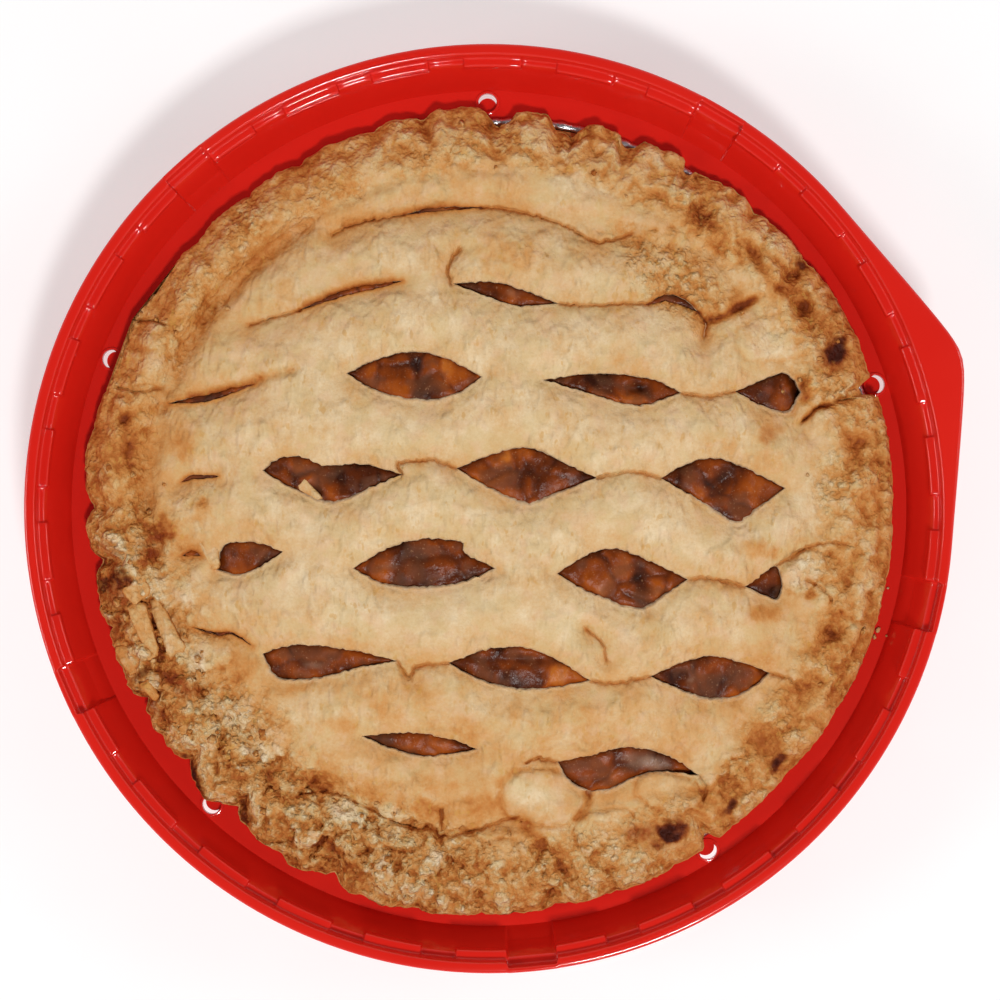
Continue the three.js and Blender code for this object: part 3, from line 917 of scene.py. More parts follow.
# Openings of the lid, row by row from the far side: the left tip, the points of the upper
# edge, the right tip and the points of the lower edge from left to right.
OPENINGS = [
    ((-11.1, 68.9), [(3.0, 69.3)], (21.6, 62.7), [(8.0, 62.0)]),
    ((-43.6, 41.4), [(-33.0, 46.2), (-22.4, 48.1), (-13.0, 46.0)], (-2.0, 40.2),
     [(-34, 35.5), (-20.2, 32.3), (-9, 35.0)]),
    ((16.4, 39.3), [(34.0, 41.4), (50.0, 39.6)], (59.2, 35.4), [(30.0, 35.2), (45.9, 31.1)]),
    ((75.6, 36.0), [(84.0, 39.6), (92.0, 41.8)], (96.5, 36.0), [(84.0, 31.2), (92.5, 29.6)]),
    ((-69.4, 11.7), [(-64.5, 15.4), (-57.2, 15.9), (-50.0, 13.2), (-38.0, 13.6)], (-26.3, 10.4),
     [(-62.0, 7.0), (-50.2, 1.4), (-43.0, 2.4), (-35.0, 6.6)]),
    ((-9.9, 12.3), [(-2.0, 15.6), (7.4, 18.4), (15.0, 18.0), (24.0, 13.6)], (33.1, 9.4),
     [(0.0, 6.0), (11.6, 0.8), (22.0, 4.6)]),
    ((52.5, 9.3), [(60.0, 13.6), (68.6, 15.7), (79.0, 12.6)], (91.4, 6.3),
     [(62.0, 3.6), (75.3, -4.7), (84.0, 0.6)]),
    ((-84.2, -18.9), [(-80.8, -10.9), (-70.0, -10.6)], (-62.8, -13.2),
     [(-78.0, -20.8), (-70.5, -18.4)]),
    ((-41.6, -18.2), [(-32.0, -12.6), (-21.8, -9.2), (-8.6, -9.9), (-7.0, -13.6)], (2.1, -18.2),
     [(-33.0, -23.0), (-20.5, -24.8), (-8.0, -22.8)]),
    ((20.7, -19.8), [(29.0, -14.4), (38.3, -12.0), (50.0, -16.2)], (61.0, -21.7),
     [(32.0, -26.6), (45.9, -31.2), (54.0, -26.8)]),
    ((78.6, -24.0), [(83.5, -20.6), (88.6, -17.6)], (90.6, -24.0), [(84.0, -26.6), (89.0, -28.4)]),
    ((-69.7, -44.6), [(-62.0, -42.0), (-53.3, -41.8), (-40.0, -43.6)], (-27.9, -46.6),
     [(-64.8, -52.4), (-50.6, -51.9), (-40.0, -48.8)]),
    ((-12.4, -47.1), [(-2.0, -43.2), (8.6, -42.0), (19.0, -45.0)], (31.3, -52.6),
     [(-3.0, -52.4), (9.5, -55.6), (21.0, -54.8)]),
    ((49.5, -51.4), [(59.0, -47.2), (68.6, -45.3), (79.0, -47.6)], (86.8, -50.8),
     [(57.0, -55.2), (67.1, -59.0), (78.0, -57.6)]),
    ((-39.0, -69.8), [(-24.0, -68.6), (-12.0, -70.6)], (-3.3, -73.8), [(-28.0, -74.4), (-17.8, -76.2)]),
    ((21.0, -77.8), [(33.0, -75.2), (42.8, -73.2), (55.0, -76.0)], (65.0, -82.3),
     [(26.0, -85.4), (36.0, -87.0), (50.0, -81.4)]),
]

# Narrow slits: the points of the middle line, and the width at its widest.
SLITS = [
    ([(-26.0, 90.6), (-14.8, 92.2), (-2.5, 92.7)], 1.2),
    ([(-58.0, 61.0), (-45.0, 65.8), (-26.3, 69.8)], 1.7),
    ([(49.0, 62.8), (54.0, 64.6), (59.0, 63.6), (64.5, 60.4)], 2.4),
    ([(-99.0, 32.4), (-86.0, 34.2), (-72.0, 38.2)], 2.0),
    ([(-95.0, 8.0), (-91.0, 9.6), (-82.7, 9.9)], 1.4),
    ([(-94.5, -14.6), (-91.0, -13.6), (-88.6, -14.6)], 1.4),
    ([(-91.2, -36.6), (-84.0, -38.6), (-79.0, -38.4), (-72.4, -42.2)], 0.8),
]

# Hairline cracks between the openings.
CRACKS = [
    [(-48.1, 84.5), (-43.6, 86.9), (-36.0, 88.8), (-26.0, 90.6)],
    [(-73.6, 56.6), (-66.0, 58.8), (-58.0, 61.0)],
    [(-2.5, 92.7), (4.0, 92.5), (17.1, 89.4), (25.0, 86.2), (30.7, 82.6), (36.8, 82.2), (44.0, 84.8)],
    [(21.6, 62.7), (32.0, 62.2), (42.8, 62.9), (49.0, 62.8)],
    [(64.5, 60.4), (66.6, 57.0), (66.2, 53.0)],
    [(59.2, 35.4), (66.0, 34.4), (75.6, 36.0)],
    [(-26.3, 10.4), (-27.5, 14.0), (-20.2, 14.6), (-17.0, 15.0), (-9.9, 12.3)],
    [(33.1, 9.4), (39.0, 10.8), (46.0, 11.2), (52.5, 9.3)],
    [(61.0, -21.7), (67.0, -21.2), (73.0, -22.6), (78.6, -24.0)],
    [(-27.9, -46.6), (-24.2, -51.4), (-22.0, -48.2), (-18.0, -47.6), (-12.4, -47.1)],
    [(31.3, -52.6), (38.0, -53.4), (49.5, -51.4)],
    [(86.8, -50.8), (93.0, -52.6), (96.0, -56.0)],
    [(65.0, -82.3), (67.0, -85.6), (66.2, -90.0)],
    [(88.6, -17.6), (97.0, -12.6), (104.0, -10.6), (110.0, -11.0)],
    [(11.4, -78.0), (15.0, -76.6), (21.0, -77.8)],
    [(-57.9, -87.8), (-51.8, -87.2), (-45.1, -88.7), (-37.0, -92.6), (-27.8, -97.0)],
    [(-27.8, -97.0), (-22.0, -98.6), (-17.6, -97.6), (-15.0, -101.0), (-6.0, -99.6), (4.0, -96.4),
     (9.0, -95.0)],
    [(-14.6, -93.0), (-14.6, -98.0)],
    [(-46.0, -108.0), (-38.0, -104.8), (-28.0, -103.6)],
    [(-115.0, 37.6), (-108.0, 36.2), (-101.0, 37.4)],
    [(-111.0, 58.2), (-106.0, 58.9), (-101.0, 57.3)],
    [(96.4, 26.6), (101.5, 31.0), (107.0, 32.6), (110.5, 34.2), (114.0, 34.8)],
    [(-9.0, 79.6), (-12.2, 75.0), (-11.6, 68.6)],
    [(29.8, -36.8), (34.4, -41.0), (36.0, -46.4)],
    [(98.0, -22.0), (103.0, -24.6), (105.6, -28.4)],
]

# Soft folds: the points of each, its half width, its depth and how much it is darkened, by browning and
# by painted shade in the dip.
FOLDS = [
    ([(-56.0, 88.0), (-68.0, 78.0), (-81.0, 65.4)], 3.2, 1.7, 0.10),
    ([(-86.0, 63.0), (-92.0, 55.0), (-96.5, 47.0)], 3.0, 1.6, 0.10),
    ([(11.0, -98.0), (17.0, -104.0), (23.0, -111.0), (26.6, -117.0)], 2.0, 1.6, 0.34),
    ([(68.0, 58.0), (72.0, 59.0), (77.0, 61.8), (82.0, 64.6)], 1.3, 2.2, 0.62),
    ([(66.4, 56.0), (66.0, 50.0), (66.8, 42.6)], 2.0, 1.3, 0.10),
    ([(-72.0, 39.0), (-66.0, 41.0), (-60.0, 42.2)], 1.3, 1.6, 0.24),
    ([(-56.0, 62.6), (-45.0, 66.9), (-30.0, 70.2)], 1.2, 0.9, 0.24),
    ([(-92.0, 34.8), (-82.0, 36.6), (-70.0, 40.2)], 1.2, 0.9, 0.24),
    ([(-44.0, 87.8), (-30.0, 91.0), (-14.0, 93.4)], 1.1, 0.7, 0.16),
    ([(79.6, 82.4), (83.0, 75.6), (89.0, 67.8), (98.0, 61.0)], 1.6, 1.4, 0.26),
    ([(-112.0, 27.0), (-110.0, 21.0), (-111.4, 14.6)], 2.6, 1.5, 0.24),
    ([(-101.0, 31.4), (-107.0, 30.4), (-112.6, 28.0)], 1.6, 1.2, 0.18),
    ([(104.6, -14.0), (109.6, -22.0), (111.6, -31.0)], 1.8, 1.2, 0.20),
    ([(-104.0, -28.4), (-103.2, -36.0), (-101.2, -46.0)], 1.5, 1.6, 0.50),
    ([(-59.0, -90.4), (-50.0, -90.0), (-41.0, -93.6), (-31.0, -98.0)], 1.4, 1.2, 0.06),
    ([(26.6, -95.4), (30.4, -90.2), (30.6, -84.6)], 1.0, 1.3, 0.20),
    ([(66.0, -87.4), (70.6, -92.6), (72.8, -98.2)], 1.6, 1.0, 0.22),
    ([(97.4, 27.6), (101.5, 31.0), (107.0, 32.6)], 0.9, 1.2, 0.40),
    ([(118.6, 24.0), (120.4, 8.0), (119.8, -12.0)], 0.9, 0.8, 0.16),
    ([(117.6, -26.0), (113.0, -42.0), (105.0, -58.0)], 0.9, 0.8, 0.16),
]

STEP = 0.9  # distance between points along an edge
FOLD_STEP = 2.0
NOISE_REACH = 2.2  # brings the usual height of the noise to about 1


def bend_outline(line, seed, reach=0.22):
    """Makes a cut edge a little uneven, but leaves its ends."""
    ends = rise(np.minimum(np.arange(len(line)), np.arange(len(line))[::-1]), 0, 4)
    return line + normals(line) * (ends * reach * lumps(line, 1.6, 3, seed) * NOISE_REACH)[:, None]


def between_edges(lower, upper):
    """The outline between two edges that both run from the left tip to the right one."""
    return np.vstack([lower[:-1], upper[::-1][:-1]])


def opening_outline(index, left, upper, right, lower):
    top = bend_outline(through([left, *upper, right], STEP), 10.0 + index)
    bottom = bend_outline(through([left, *lower, right], STEP), 40.0 + index)
    return between_edges(bottom, top)


def slit_outline(points, width):
    """The outline of a slit, which is widest in the middle of its line."""
    line = bend_outline(through(points, STEP), width, 0.14)
    across = normals(line)
    share = np.linspace(0, 1, len(line))
    half = 0.5 * width * np.sin(math.pi * share) ** 0.7 * (1 + 0.4 * lumps(line, 5.0, 2, seed=3.0))
    return between_edges(line - across * half[:, None], line + across * half[:, None])


def crack_line(index, points):
    return bend_outline(through(points, STEP), 70.0 + index, 0.32)


openings = [opening_outline(index, *row) for index, row in enumerate(OPENINGS)]
slits = [slit_outline(*row) for row in SLITS]
holes = openings + slits
cracks = [crack_line(index, points) for index, points in enumerate(CRACKS)]
folds = [through(points, FOLD_STEP) for points, *_ in FOLDS]

# ---- crust heights ------------------------------------------------------------------------

PLAN_RADIUS = 124.0
PASTRY = 4.4
VALLEY_HEIGHT = 39.5
VALLEY_RADIUS = 104.0
DOME_FULLNESS = 2.6
FAR_AWAY = 40.0  # stands for a distance that isn't worked out
CRIMP_COUNT = 36
CRIMP_FIRST_ANGLE = 8.5
CRIMP_TURN = 360 / CRIMP_COUNT
crimp_chance = np.random.default_rng(12)
crimp_shifts = crimp_chance.uniform(-1.6, 1.6, CRIMP_COUNT)
crimp_depths = crimp_chance.uniform(0.1, 1.15, CRIMP_COUNT)

# The edge all round: angle, mean radius and depth of the dips between crimps there.
EDGE_REACH = [
    (0, 124.6, 0.2), (30, 125.0, 0.4), (46, 123.6, 1.4), (64, 122.6, 1.6), (80, 121.8, 1.8),
    (93, 123.6, 1.2), (104, 122.8, 1.0), (117, 121.6, 0.9), (138, 122.2, 1.0), (158, 122.6, 0.9),
    (171, 124.8, 0.8), (186, 123.4, 1.8), (212, 122.6, 2.4), (232, 123.4, 2.4), (245, 124.8, 2.0),
    (262, 126.0, 1.0), (281, 124.2, 0.8), (293, 124.8, 0.4), (314, 123.0, 0.3), (336, 124.4, 0.3),
]
edge_angles, edge_radii, edge_dips = (list(column) for column in zip(*EDGE_REACH))

# Hollows that a finger left in the rim: angle, radius, half sizes across and along the rim,
# depth and how much painted shade darkens them.
FINGER_HOLLOWS = [
    (9.8, 114.3, 4.2, 5.6, 3.4, 0.50), (359.3, 116.6, 3.4, 5.0, 2.0, 0.24),
    (350.5, 113.0, 2.6, 4.0, 1.4, 0.20), (340.0, 112.0, 4.4, 5.6, 3.6, 0.52),
    (329.6, 113.5, 3.4, 6.6, 3.0, 0.44), (319.6, 112.0, 5.4, 5.0, 3.6, 0.52),
    (310.4, 113.8, 4.0, 4.6, 2.8, 0.44), (298.0, 112.0, 3.6, 4.4, 1.8, 0.26),
    (24.0, 114.6, 3.4, 4.4, 2.2, 0.30), (32.3, 113.8, 3.8, 6.0, 3.6, 0.52),
    (37.5, 117.0, 3.6, 5.4, 2.4, 0.44), (44.0, 113.4, 3.0, 6.0, 3.4, 0.50),
    (54.6, 114.8, 4.6, 4.4, 3.2, 0.46), (62.0, 109.5, 3.0, 6.0, 1.4, 0.16),
    (180.0, 107.4, 2.6, 6.2, 2.8, 0.24), (171.0, 108.8, 3.4, 5.4, 2.4, 0.28),
    (243.5, 116.0, 4.2, 5.4, 2.8, 0.36), (251.0, 111.0, 2.6, 6.0, 2.2, 0.32),
    (263.0, 113.0, 4.0, 5.4, 2.0, 0.28), (222.0, 112.5, 4.0, 5.0, 2.2, 0.30),
    (206.0, 112.0, 3.4, 4.4, 2.2, 0.34), (104.0, 113.0, 3.0, 5.0, 1.2, 0.20),
    (122.0, 114.0, 3.4, 5.0, 1.6, 0.22), (74.0, 113.0, 3.4, 4.4, 1.6, 0.24),
    (150.0, 114.0, 3.0, 4.4, 1.4, 0.22), (273.0, 112.0, 3.4, 4.4, 1.8, 0.26),
    (232.0, 108.0, 3.0, 4.4, 1.8, 0.24),
]

# Darker places: x, y, half length, half width, turn and amount.
TOASTED = [
    (-101, -6.5, 6, 4, 30, 0.40), (-105.7, -14.7, 5, 3, 20, 0.36), (-88.3, -0.7, 5, 3, 70, 0.24),
    (-92.9, 19, 5, 4, 70, 0.22), (-77.8, -50.3, 9, 5, 0, 0.24), (-93, -53, 9, 3.5, -20, 0.28),
    (-62, -76, 9, 5, -20, 0.1), (-44, -66, 6, 3, -10, 0.16), (76.2, 64.3, 5, 5, 0, 0.42),
    (68.9, 62.4, 3, 3, 0, 0.28), (84.5, -32.3, 6, 2.6, 0, 0.28), (85.3, 23.2, 6, 3, 20, 0.2),
    (84.6, -12.6, 10, 3, -10, 0.26), (98.9, -26.7, 2.6, 1.6, 30, 0.44),
    (107.4, -31.6, 4, 2.4, 70, 0.3), (-52, -83.6, 11, 3.6, -4, 0.20), (-37, -86.6, 9, 3.8, -18, 0.21),
    (-21, -91.6, 9, 3.6, -18, 0.26), (-2, -90.6, 9, 4.4, 6, 0.30), (97.2, 36.8, 3.0, 5.6, 0, 0.58),
    (-60.0, -55.6, 8, 2.4, 10, 0.20), (5, 79, 13, 7, 4, 0.20), (22, -62, 20, 6, -6, 0.12),
    (-26, -57, 22, 7, 0, 0.14), (-8, -66, 14, 4, 0, 0.1), (93, 33, 4, 5, 0, 0.3),
    (57, 74, 22, 12, -38, 0.26), (67, 86, 14, 6, -40, 0.30), (-72, -62, 8, 5, 30, 0.10),
    (-15, -84, 12, 4, 0, 0.16), (-88, 60, 5, 9, -30, 0.14), (-70, 80, 5, 10, -50, 0.14),
]
BURNT = [
    (106.3, 48, 4.8, 3.4, 40, 1.5), (55.8, -99.8, 5.4, 3.4, 20, 1.5), (-113.8, -21, 4.0, 3.4, 0, 0.9),
    (90.1, -78.7, 4.0, 1.8, 55, 1.1), (75.3, -92, 3.2, 1.6, 50, 0.9),
    (-119.0, -24.4, 3.0, 3.4, 0, 0.6), (-91.5, -84.6, 9, 2.8, -50, 1.3),
    (-107.0, -51.2, 4, 1.8, 30, 0.7), (-76, -95.6, 4, 2.2, -38, 0.7), (96.4, 76.2, 3, 1.6, -50, 0.6),
]
RUSTY = [
    (47.0, -99.6, 6, 3.0, 0, 0.7), (-113.6, -26.6, 6, 5, 0, 0.7), (-96, -55, 9, 3.6, -20, 0.6),
    (-104, -62, 7, 3.4, -50, 0.6), (-119, 9, 3, 3, 0, 0.5), (-118.6, -13.6, 4, 4, 0, 0.5),
    (-103.6, -12, 8, 5, 40, 0.45), (-116, -36, 4, 4, 0, 0.55), (55.8, -100, 9, 5, 20, 0.5),
    (106, 47, 8, 6, 40, 0.4), (86.0, 22.6, 4, 3, 20, 0.3), (104.6, 62.4, 6, 4, -50, 0.4),
]

# Floury pale places and places where the lid's surface has flaked: as above.
PALE = [
    (-46, -92.4, 13, 3.6, -18, 0.24), (17, -88, 13, 8, 0, 0.16), (97, -20, 8, 6, 40, 0.22),
    (-88, -42, 11, 6, 0, 0.14), (-104, 44, 8, 6, 60, 0.14), (-96, 30, 8, 6, 0, 0.10),
    (88, 52, 12, 7, 10, 0.08), (-27, -101, 7, 4, -12, 0.22), (-76, -76, 7, 4, 30, 0.16),
    (-8, -103, 7, 5, 0, 0.14), (36, -99, 9, 6, 10, 0.12), (96, 4, 6, 12, 10, 0.12),
    (-97, -26, 7, 7, 0, 0.14), (68, -80, 8, 6, -20, 0.12), (-60, 96, 10, 4, 30, 0.12),
    (30, 100, 14, 5, -12, 0.10),
]
FLAKY = [
    (57, 71, 24, 12, -38, 1.2), (98, -20, 9, 7, 40, 0.8), (104, 8, 6, 12, 0, 0.5),
    (-78, -62, 18, 10, -10, 0.6), (88, 52, 12, 8, 10, 0.35), (-88, 4, 9, 7, 40, 0.35),
    (12, 78, 8, 6, 0, 0.3),
]

# Loose-edged pieces that stand proud: x, y, half length, half width, turn and height.
RAISED_PIECES = [
    (17.1, -88.6, 12.6, 8.0, -6, 1.6), (-27.0, -101.0, 6.5, 3.4, -12, 1.8),
    (-40.0, -104.0, 7.5, 5.0, 8, 1.5), (-78.5, -74.7, 4.5, 3.6, 30, 1.5),
    (-8.0, -104.0, 6.0, 4.4, -20, 1.5), (-56.0, -98.0, 6.0, 3.6, -30, 1.3),
    (36.0, -99.0, 9.0, 6.0, 12, 1.2), (-46.0, -91.6, 12.0, 3.2, -18, 1.0),
    (97.0, -19.6, 7.4, 5.0, 38, 1.4), (88.0, 52.4, 11.0, 6.6, 8, 0.9),
    (-88.0, -44.0, 9.0, 5.4, -6, 1.0), (55.6, -87.6, 10.0, 5.4, -16, 1.2),
    (3.0, -107.0, 6.0, 5.0, 10, 1.4), (17.4, -113.0, 5.0, 4.0, -50, 1.2),
]

# Broken slabs and flaps of pastry that lie on the crust: x, y, half length, half width, turn,
# taper, height above the crust, tilt along their length and browning.
SLABS = [
    (-105.8, -37.4, 8.8, 2.6, -71, 0.20, 1.5, 3, 0.24),
    (-99.4, -36.6, 9.4, 2.5, -66, -0.25, 1.8, -3, 0.20),
    (-111.6, -46.6, 5.0, 2.2, -62, 0.10, 0.3, 0, 0.34),
    (-108.0, -25.4, 3.8, 3.0, 30, 0.10, 0.4, 6, 0.28),
    (-85.2, -13.2, 5.6, 2.3, -72, 0.45, 0.2, -8, 0.10),
    (-54.6, 5.2, 4.0, 1.6, -42, 0.20, -1.7, 0, 0.14),
    (-104.0, -56.0, 3.4, 1.6, -50, 0.20, 0.1, 4, 0.40),
    (-92.6, -69.4, 3.2, 1.6, -45, 0.20, 0.0, 0, 0.30),
]

# How much more or less each side of the rim is browned: angle, half width in degrees and amount.
BROWNED_SIDES = [
    (90, 18, 0.06), (143, 22, 0.10), (185, 12, 0.14), (221, 14, 0.02), (264, 18, 0.02),
    (307, 14, -0.02), (345, 24, 0.04),
]
SIDE_FADE = 14  # how far beyond each of those sides it fades

# Sides that differ from the rest: the middle's angle, half the width and the fade beyond it.
BROKEN_SIDE = (222, 32, 18)
FRONT_SIDE = (262, 26, 16)
FLOURY_FRONT = (266, 22, 14)
BACK_SIDE = (88, 26, 14)
RIGHT_SIDE = (338, 50, 20)
UPPER_LEFT_SIDE = (143, 30, 14)
EVEN_LEFT_SIDE = (140, 34, 16)
UNCRIMPED_RIGHT = (338, 46, 14)
UNCRIMPED_LEFT = (140, 28, 14)

# Places where the edge is broken back to the tin: angle, half width in degrees and depth.
EDGE_GAPS = [
    (17.6, 1.1, 5.0), (87.9, 1.5, 4.0), (78.8, 2.2, 3.4), (68.9, 1.4, 3.2), (59.5, 0.9, 3.0),
    (303.6, 0.9, 3.4),
]


def crust_edge(angle):
    """The crust's outer radius in plan."""
    mean = np.interp(angle, edge_angles, edge_radii, period=360)
    dip = np.interp(angle, edge_angles, edge_dips, period=360)
    index = np.round((angle - CRIMP_FIRST_ANGLE) / CRIMP_TURN).astype(int) % CRIMP_COUNT
    middle = CRIMP_FIRST_ANGLE + index * CRIMP_TURN + crimp_shifts[index]
    notch = crimp_depths[index] * bell(np.abs(turn_between(angle, middle)), 1.4, 1)
    rag = lumps(around(PLAN_RADIUS, angle), 7.0, 3, seed=6.0)
    fine = lumps(around(PLAN_RADIUS, angle), 1.6, 3, seed=2.0)
    edge = mean + dip * (0.5 - 2.2 * notch + 0.8 * rag) + 0.45 * fine
    for turn, half, depth in EDGE_GAPS:
        edge -= depth * bell(turn_between(angle, turn), half, 4)
    return edge


def spread(plan):
    """Stretches the round plan so that its outside follows the uneven edge."""
    radius, angle = polar(plan)
    moved = radius + (crust_edge(angle) - PLAN_RADIUS) * rise(radius, 100, PLAN_RADIUS)
    return around(moved, angle)


def dome(radius):
    """The lid's height over the filling."""
    share = np.minimum(radius / VALLEY_RADIUS, 1)
    return VALLEY_HEIGHT + (LID_TOP - VALLEY_HEIGHT) * (1 - share**DOME_FULLNESS)


def stained(plan, places, ragged):
    """The strongest of the places at each point, mottled and with ragged outlines."""
    best = np.zeros(len(plan))
    mottle = 0.75 + 0.45 * lumps(plan, 2.4, 3, seed=41.0)
    for x, y, length, width, turn, amount in places:
        shape = hill(plan, (x, y), (length, width), turn)
        patch = rise(shape + 0.34 * ragged * rise(shape, 0.05, 0.3), 0.15, 0.95)
        best = np.maximum(best, amount * mottle * patch)
    return best


def raised(plan):
    """The height of the pieces that stand proud, and a band round each."""
    height = np.zeros(len(plan))
    outline = np.zeros(len(plan))
    ragged = 0.13 * lumps(plan, 4.0, 3, seed=44.0)
    for x, y, length, width, turn, lift in RAISED_PIECES:
        along = np.abs(seen_from(plan, (x, y), turn) / (length, width))
        reach = (along**2.6).sum(1) ** (1 / 2.6) + ragged
        height = np.maximum(height, 0.75 * lift * (1 - rise(reach, 0.93, 1.06)))
        outline = np.maximum(outline, 0.6 * lift * bell(reach - 1.09, 0.07))
    return height, outline


def crimp_grooves(radius, angle):
    """Folds that run in from the dips of the edge: deep at the edge, gone where the rim ends."""
    chance = np.random.default_rng(3)
    groove = np.zeros(len(radius))
    for index in range(CRIMP_COUNT):
        turn = CRIMP_FIRST_ANGLE + index * CRIMP_TURN + crimp_shifts[index]
        lean = chance.uniform(-0.6, 0.6)
        start = chance.uniform(107, 117)
        away = turn_between(angle, turn) * radius * TAU / 360 + lean * (PLAN_RADIUS - radius)
        width = 0.7 + 1.9 * rise(radius, start, PLAN_RADIUS)
        fold = bell(np.abs(away), width, 1.3) * rise(radius, start, PLAN_RADIUS - 1)
        groove = np.maximum(groove, crimp_depths[index] * fold)
    groove *= 1 - 0.8 * sector(angle, *UNCRIMPED_RIGHT)
    return groove * (1 - 0.6 * sector(angle, *UNCRIMPED_LEFT))


def gap_distances(plan):
    """Distances to the nearest opening, slit and crack, and 1 beyond the nearest of them towards
    +Y or -1 short of it."""
    groups = [[closed(outline) for outline in openings], [closed(outline) for outline in slits], cracks]
    distances = np.full((3, len(plan)), FAR_AWAY)
    side = np.zeros(len(plan))
    for group, lines in enumerate(groups):
        for line in lines:
            distance, beyond = nearest_on(plan, line)
            nearer = distance < distances.min(0)
            side[nearer] = np.clip(beyond[nearer] / np.maximum(distance[nearer], 0.3), -1, 1)
            distances[group] = np.minimum(distances[group], distance)
    return distances, side


class Spots:
    """Places on the crust in plan, and what the heights and masks there depend on."""

    def __init__(self, plan):
        self.plan = plan
        self.radius, self.angle = polar(plan)
        distances, self.side = gap_distances(plan)
        self.to_opening, self.to_slit, self.to_crack = distances
        self.to_gap = distances.min(0)
        self.broad = lumps(plan, 9.0, 3, seed=1.0)
        self.grain = lumps(plan, 3.2, 3, seed=6.0)
        self.wander = 4.5 * lumps(plan, 15.0, 3, seed=51.0)
        self.swirled = plan + 1.4 * np.column_stack([self.broad, lumps(plan, 9.0, 2, seed=4.0)])
        self.swirled += 0.8 * np.column_stack([self.grain, lumps(plan, 3.2, 2, seed=7.0)])
        self.lid = 1 - rise(self.radius + self.wander, 94, 106)
        self.rim = rise(self.radius + self.wander, 99, 111)
        self.patchy = rise(lumps(plan, 14.0, 2, seed=71.0), -0.3, 0.4)
        self.flaky = stained(plan, FLAKY, self.grain)
        self.near_broken = self.towards(BROKEN_SIDE) * rise(self.radius, 82, 101)
        self.near_front = self.towards(FRONT_SIDE) * rise(self.radius, 94, 104)
        broken = 0.2 * self.rim * self.patchy + 0.7 * self.near_broken + 0.55 * self.near_front
        self.broken = np.clip(broken, 0, 1)

    def towards(self, side):
        """1 on a side of the pie and 0 away from it."""
        return sector(self.angle, *side)


def lid_height(spots):
    """Plump strips that dip to the gaps, each lying over the next one towards -Y."""
    height = dome(spots.radius)
    height += spots.lid * (1.5 - 3.4 * bell(spots.to_gap, 5.2, 1.3))
    height += 0.45 * spots.side * bell(spots.to_gap, 3.0, 1) * (1 - spots.rim)
    return height - 1.7 * bell(spots.to_crack, 0.42)


def rim_roll(spots):
    """A thick roll with a valley inside it and folds that run in from its edge, and the painted
    shade that darkens the folds."""
    upper_left = spots.towards(UPPER_LEFT_SIDE)
    right = spots.towards(RIGHT_SIDE)
    start = VALLEY_RADIUS + 2.5 * upper_left - 9.0 * spots.towards(BACK_SIDE) + 0.5 * spots.wander
    start -= 4.0 * spots.towards(FRONT_SIDE) + 2.0 * right
    across = np.clip((spots.radius - start) / (PLAN_RADIUS - 3 - start), 0, 1)
    height = (3.9 + 0.7 * upper_left - 1.3 * right) * np.sin(math.pi * across) ** 0.8
    height -= 1.4 * upper_left * bell(spots.radius + 0.4 * spots.wander - 105.5, 2.6)
    shoulder = np.clip((spots.radius - (PLAN_RADIUS - 4.5)) / 4.5, 0, 1)
    height -= 2.2 * (1 - np.sqrt(np.maximum(1 - 0.96 * shoulder**2, 0)))
    groove = crimp_grooves(spots.radius, spots.angle)
    # The grooves are darker: painted shade.
    return height - 2.8 * groove * (1 - 0.5 * shoulder), 0.30 * groove * spots.rim


def finger_hollows(spots):
    """The heights of the hollows that fingers left in the rim, and the painted shade that darkens them.
    """
    height = np.zeros(len(spots.plan))
    brown = np.zeros(len(spots.plan))
    for turn, reach, size, length, depth, share in FINGER_HOLLOWS:
        shape = hill(spots.swirled, around(reach, turn), (size, length), turn)
        height -= depth * shape
        # Deeper parts of a hollow are darker: painted shade.
        brown += 0.70 * share * shape * (1 - 0.35 * spots.grain)
    return height, brown


def soft_lumps(spots):
    """The lid's soft wrinkles and the rim's broad lumps."""
    wrinkled = rise(lumps(spots.plan, 22.0, 2, seed=31.0), -0.2, 0.35)
    soft = lumps(spots.plan * (1, 0.5), 3.4, 2, seed=21.0)
    return (0.45 + 0.3 * spots.rim) * spots.broad + (0.26 + 0.40 * wrinkled) * (1 - spots.rim) * soft


def rim_knobs(spots):
    """Knobs with sharp creases between them all over the rim, and the painted shade in the creases."""
    knob = np.minimum(2.2 * np.abs(lumps(spots.swirled, 11.0, 3, seed=61.0)), 1)
    clod = np.minimum(2.2 * np.abs(lumps(spots.swirled, 4.6, 2, seed=63.0)), 1)
    calm = 1 - 0.5 * spots.towards(EVEN_LEFT_SIDE)
    calm = calm * (1 - 0.6 * np.maximum(spots.near_broken, spots.near_front))
    height = spots.rim * calm * (1.7 * (knob - 0.6) + 0.5 * (clod - 0.6))
    # The creases are darker: painted shade.
    return height, spots.rim * 0.12 * bell(knob, 0.22)


def broken_flakes(spots):
    """Flakes at uneven levels where the crust is broken, and painted shade in their seams and on the
    lower flakes.
    """
    level, seam = flakes(spots.swirled, 8.5, seed=2.0)
    small, small_seam = flakes(spots.swirled, 3.4, seed=5.0)
    steps = 1.8 * (level - 0.5) + 0.9 * (small - 0.5) - 0.7 * seam - 0.3 * small_seam
    # Seams and lower flakes are darker, higher flakes paler: painted shade.
    brown = 0.12 * seam + 0.06 * small_seam - 0.16 * (level - 0.5)
    return spots.broken * steps + 1.2 * spots.flaky * (small - 0.5), spots.broken * brown


def fold_dips(spots):
    """The heights of the soft folds, and their darkening: browning with painted shade in the dips."""
    height = np.zeros(len(spots.plan))
    brown = np.zeros(len(spots.plan))
    for line, (_, width, depth, share) in zip(folds, FOLDS):
        shape = bell(distance_to(spots.plan, line), width)
        height -= depth * shape
        # Darker where the fold dips: browning, and painted shade.
        brown += share * shape
    return height, brown


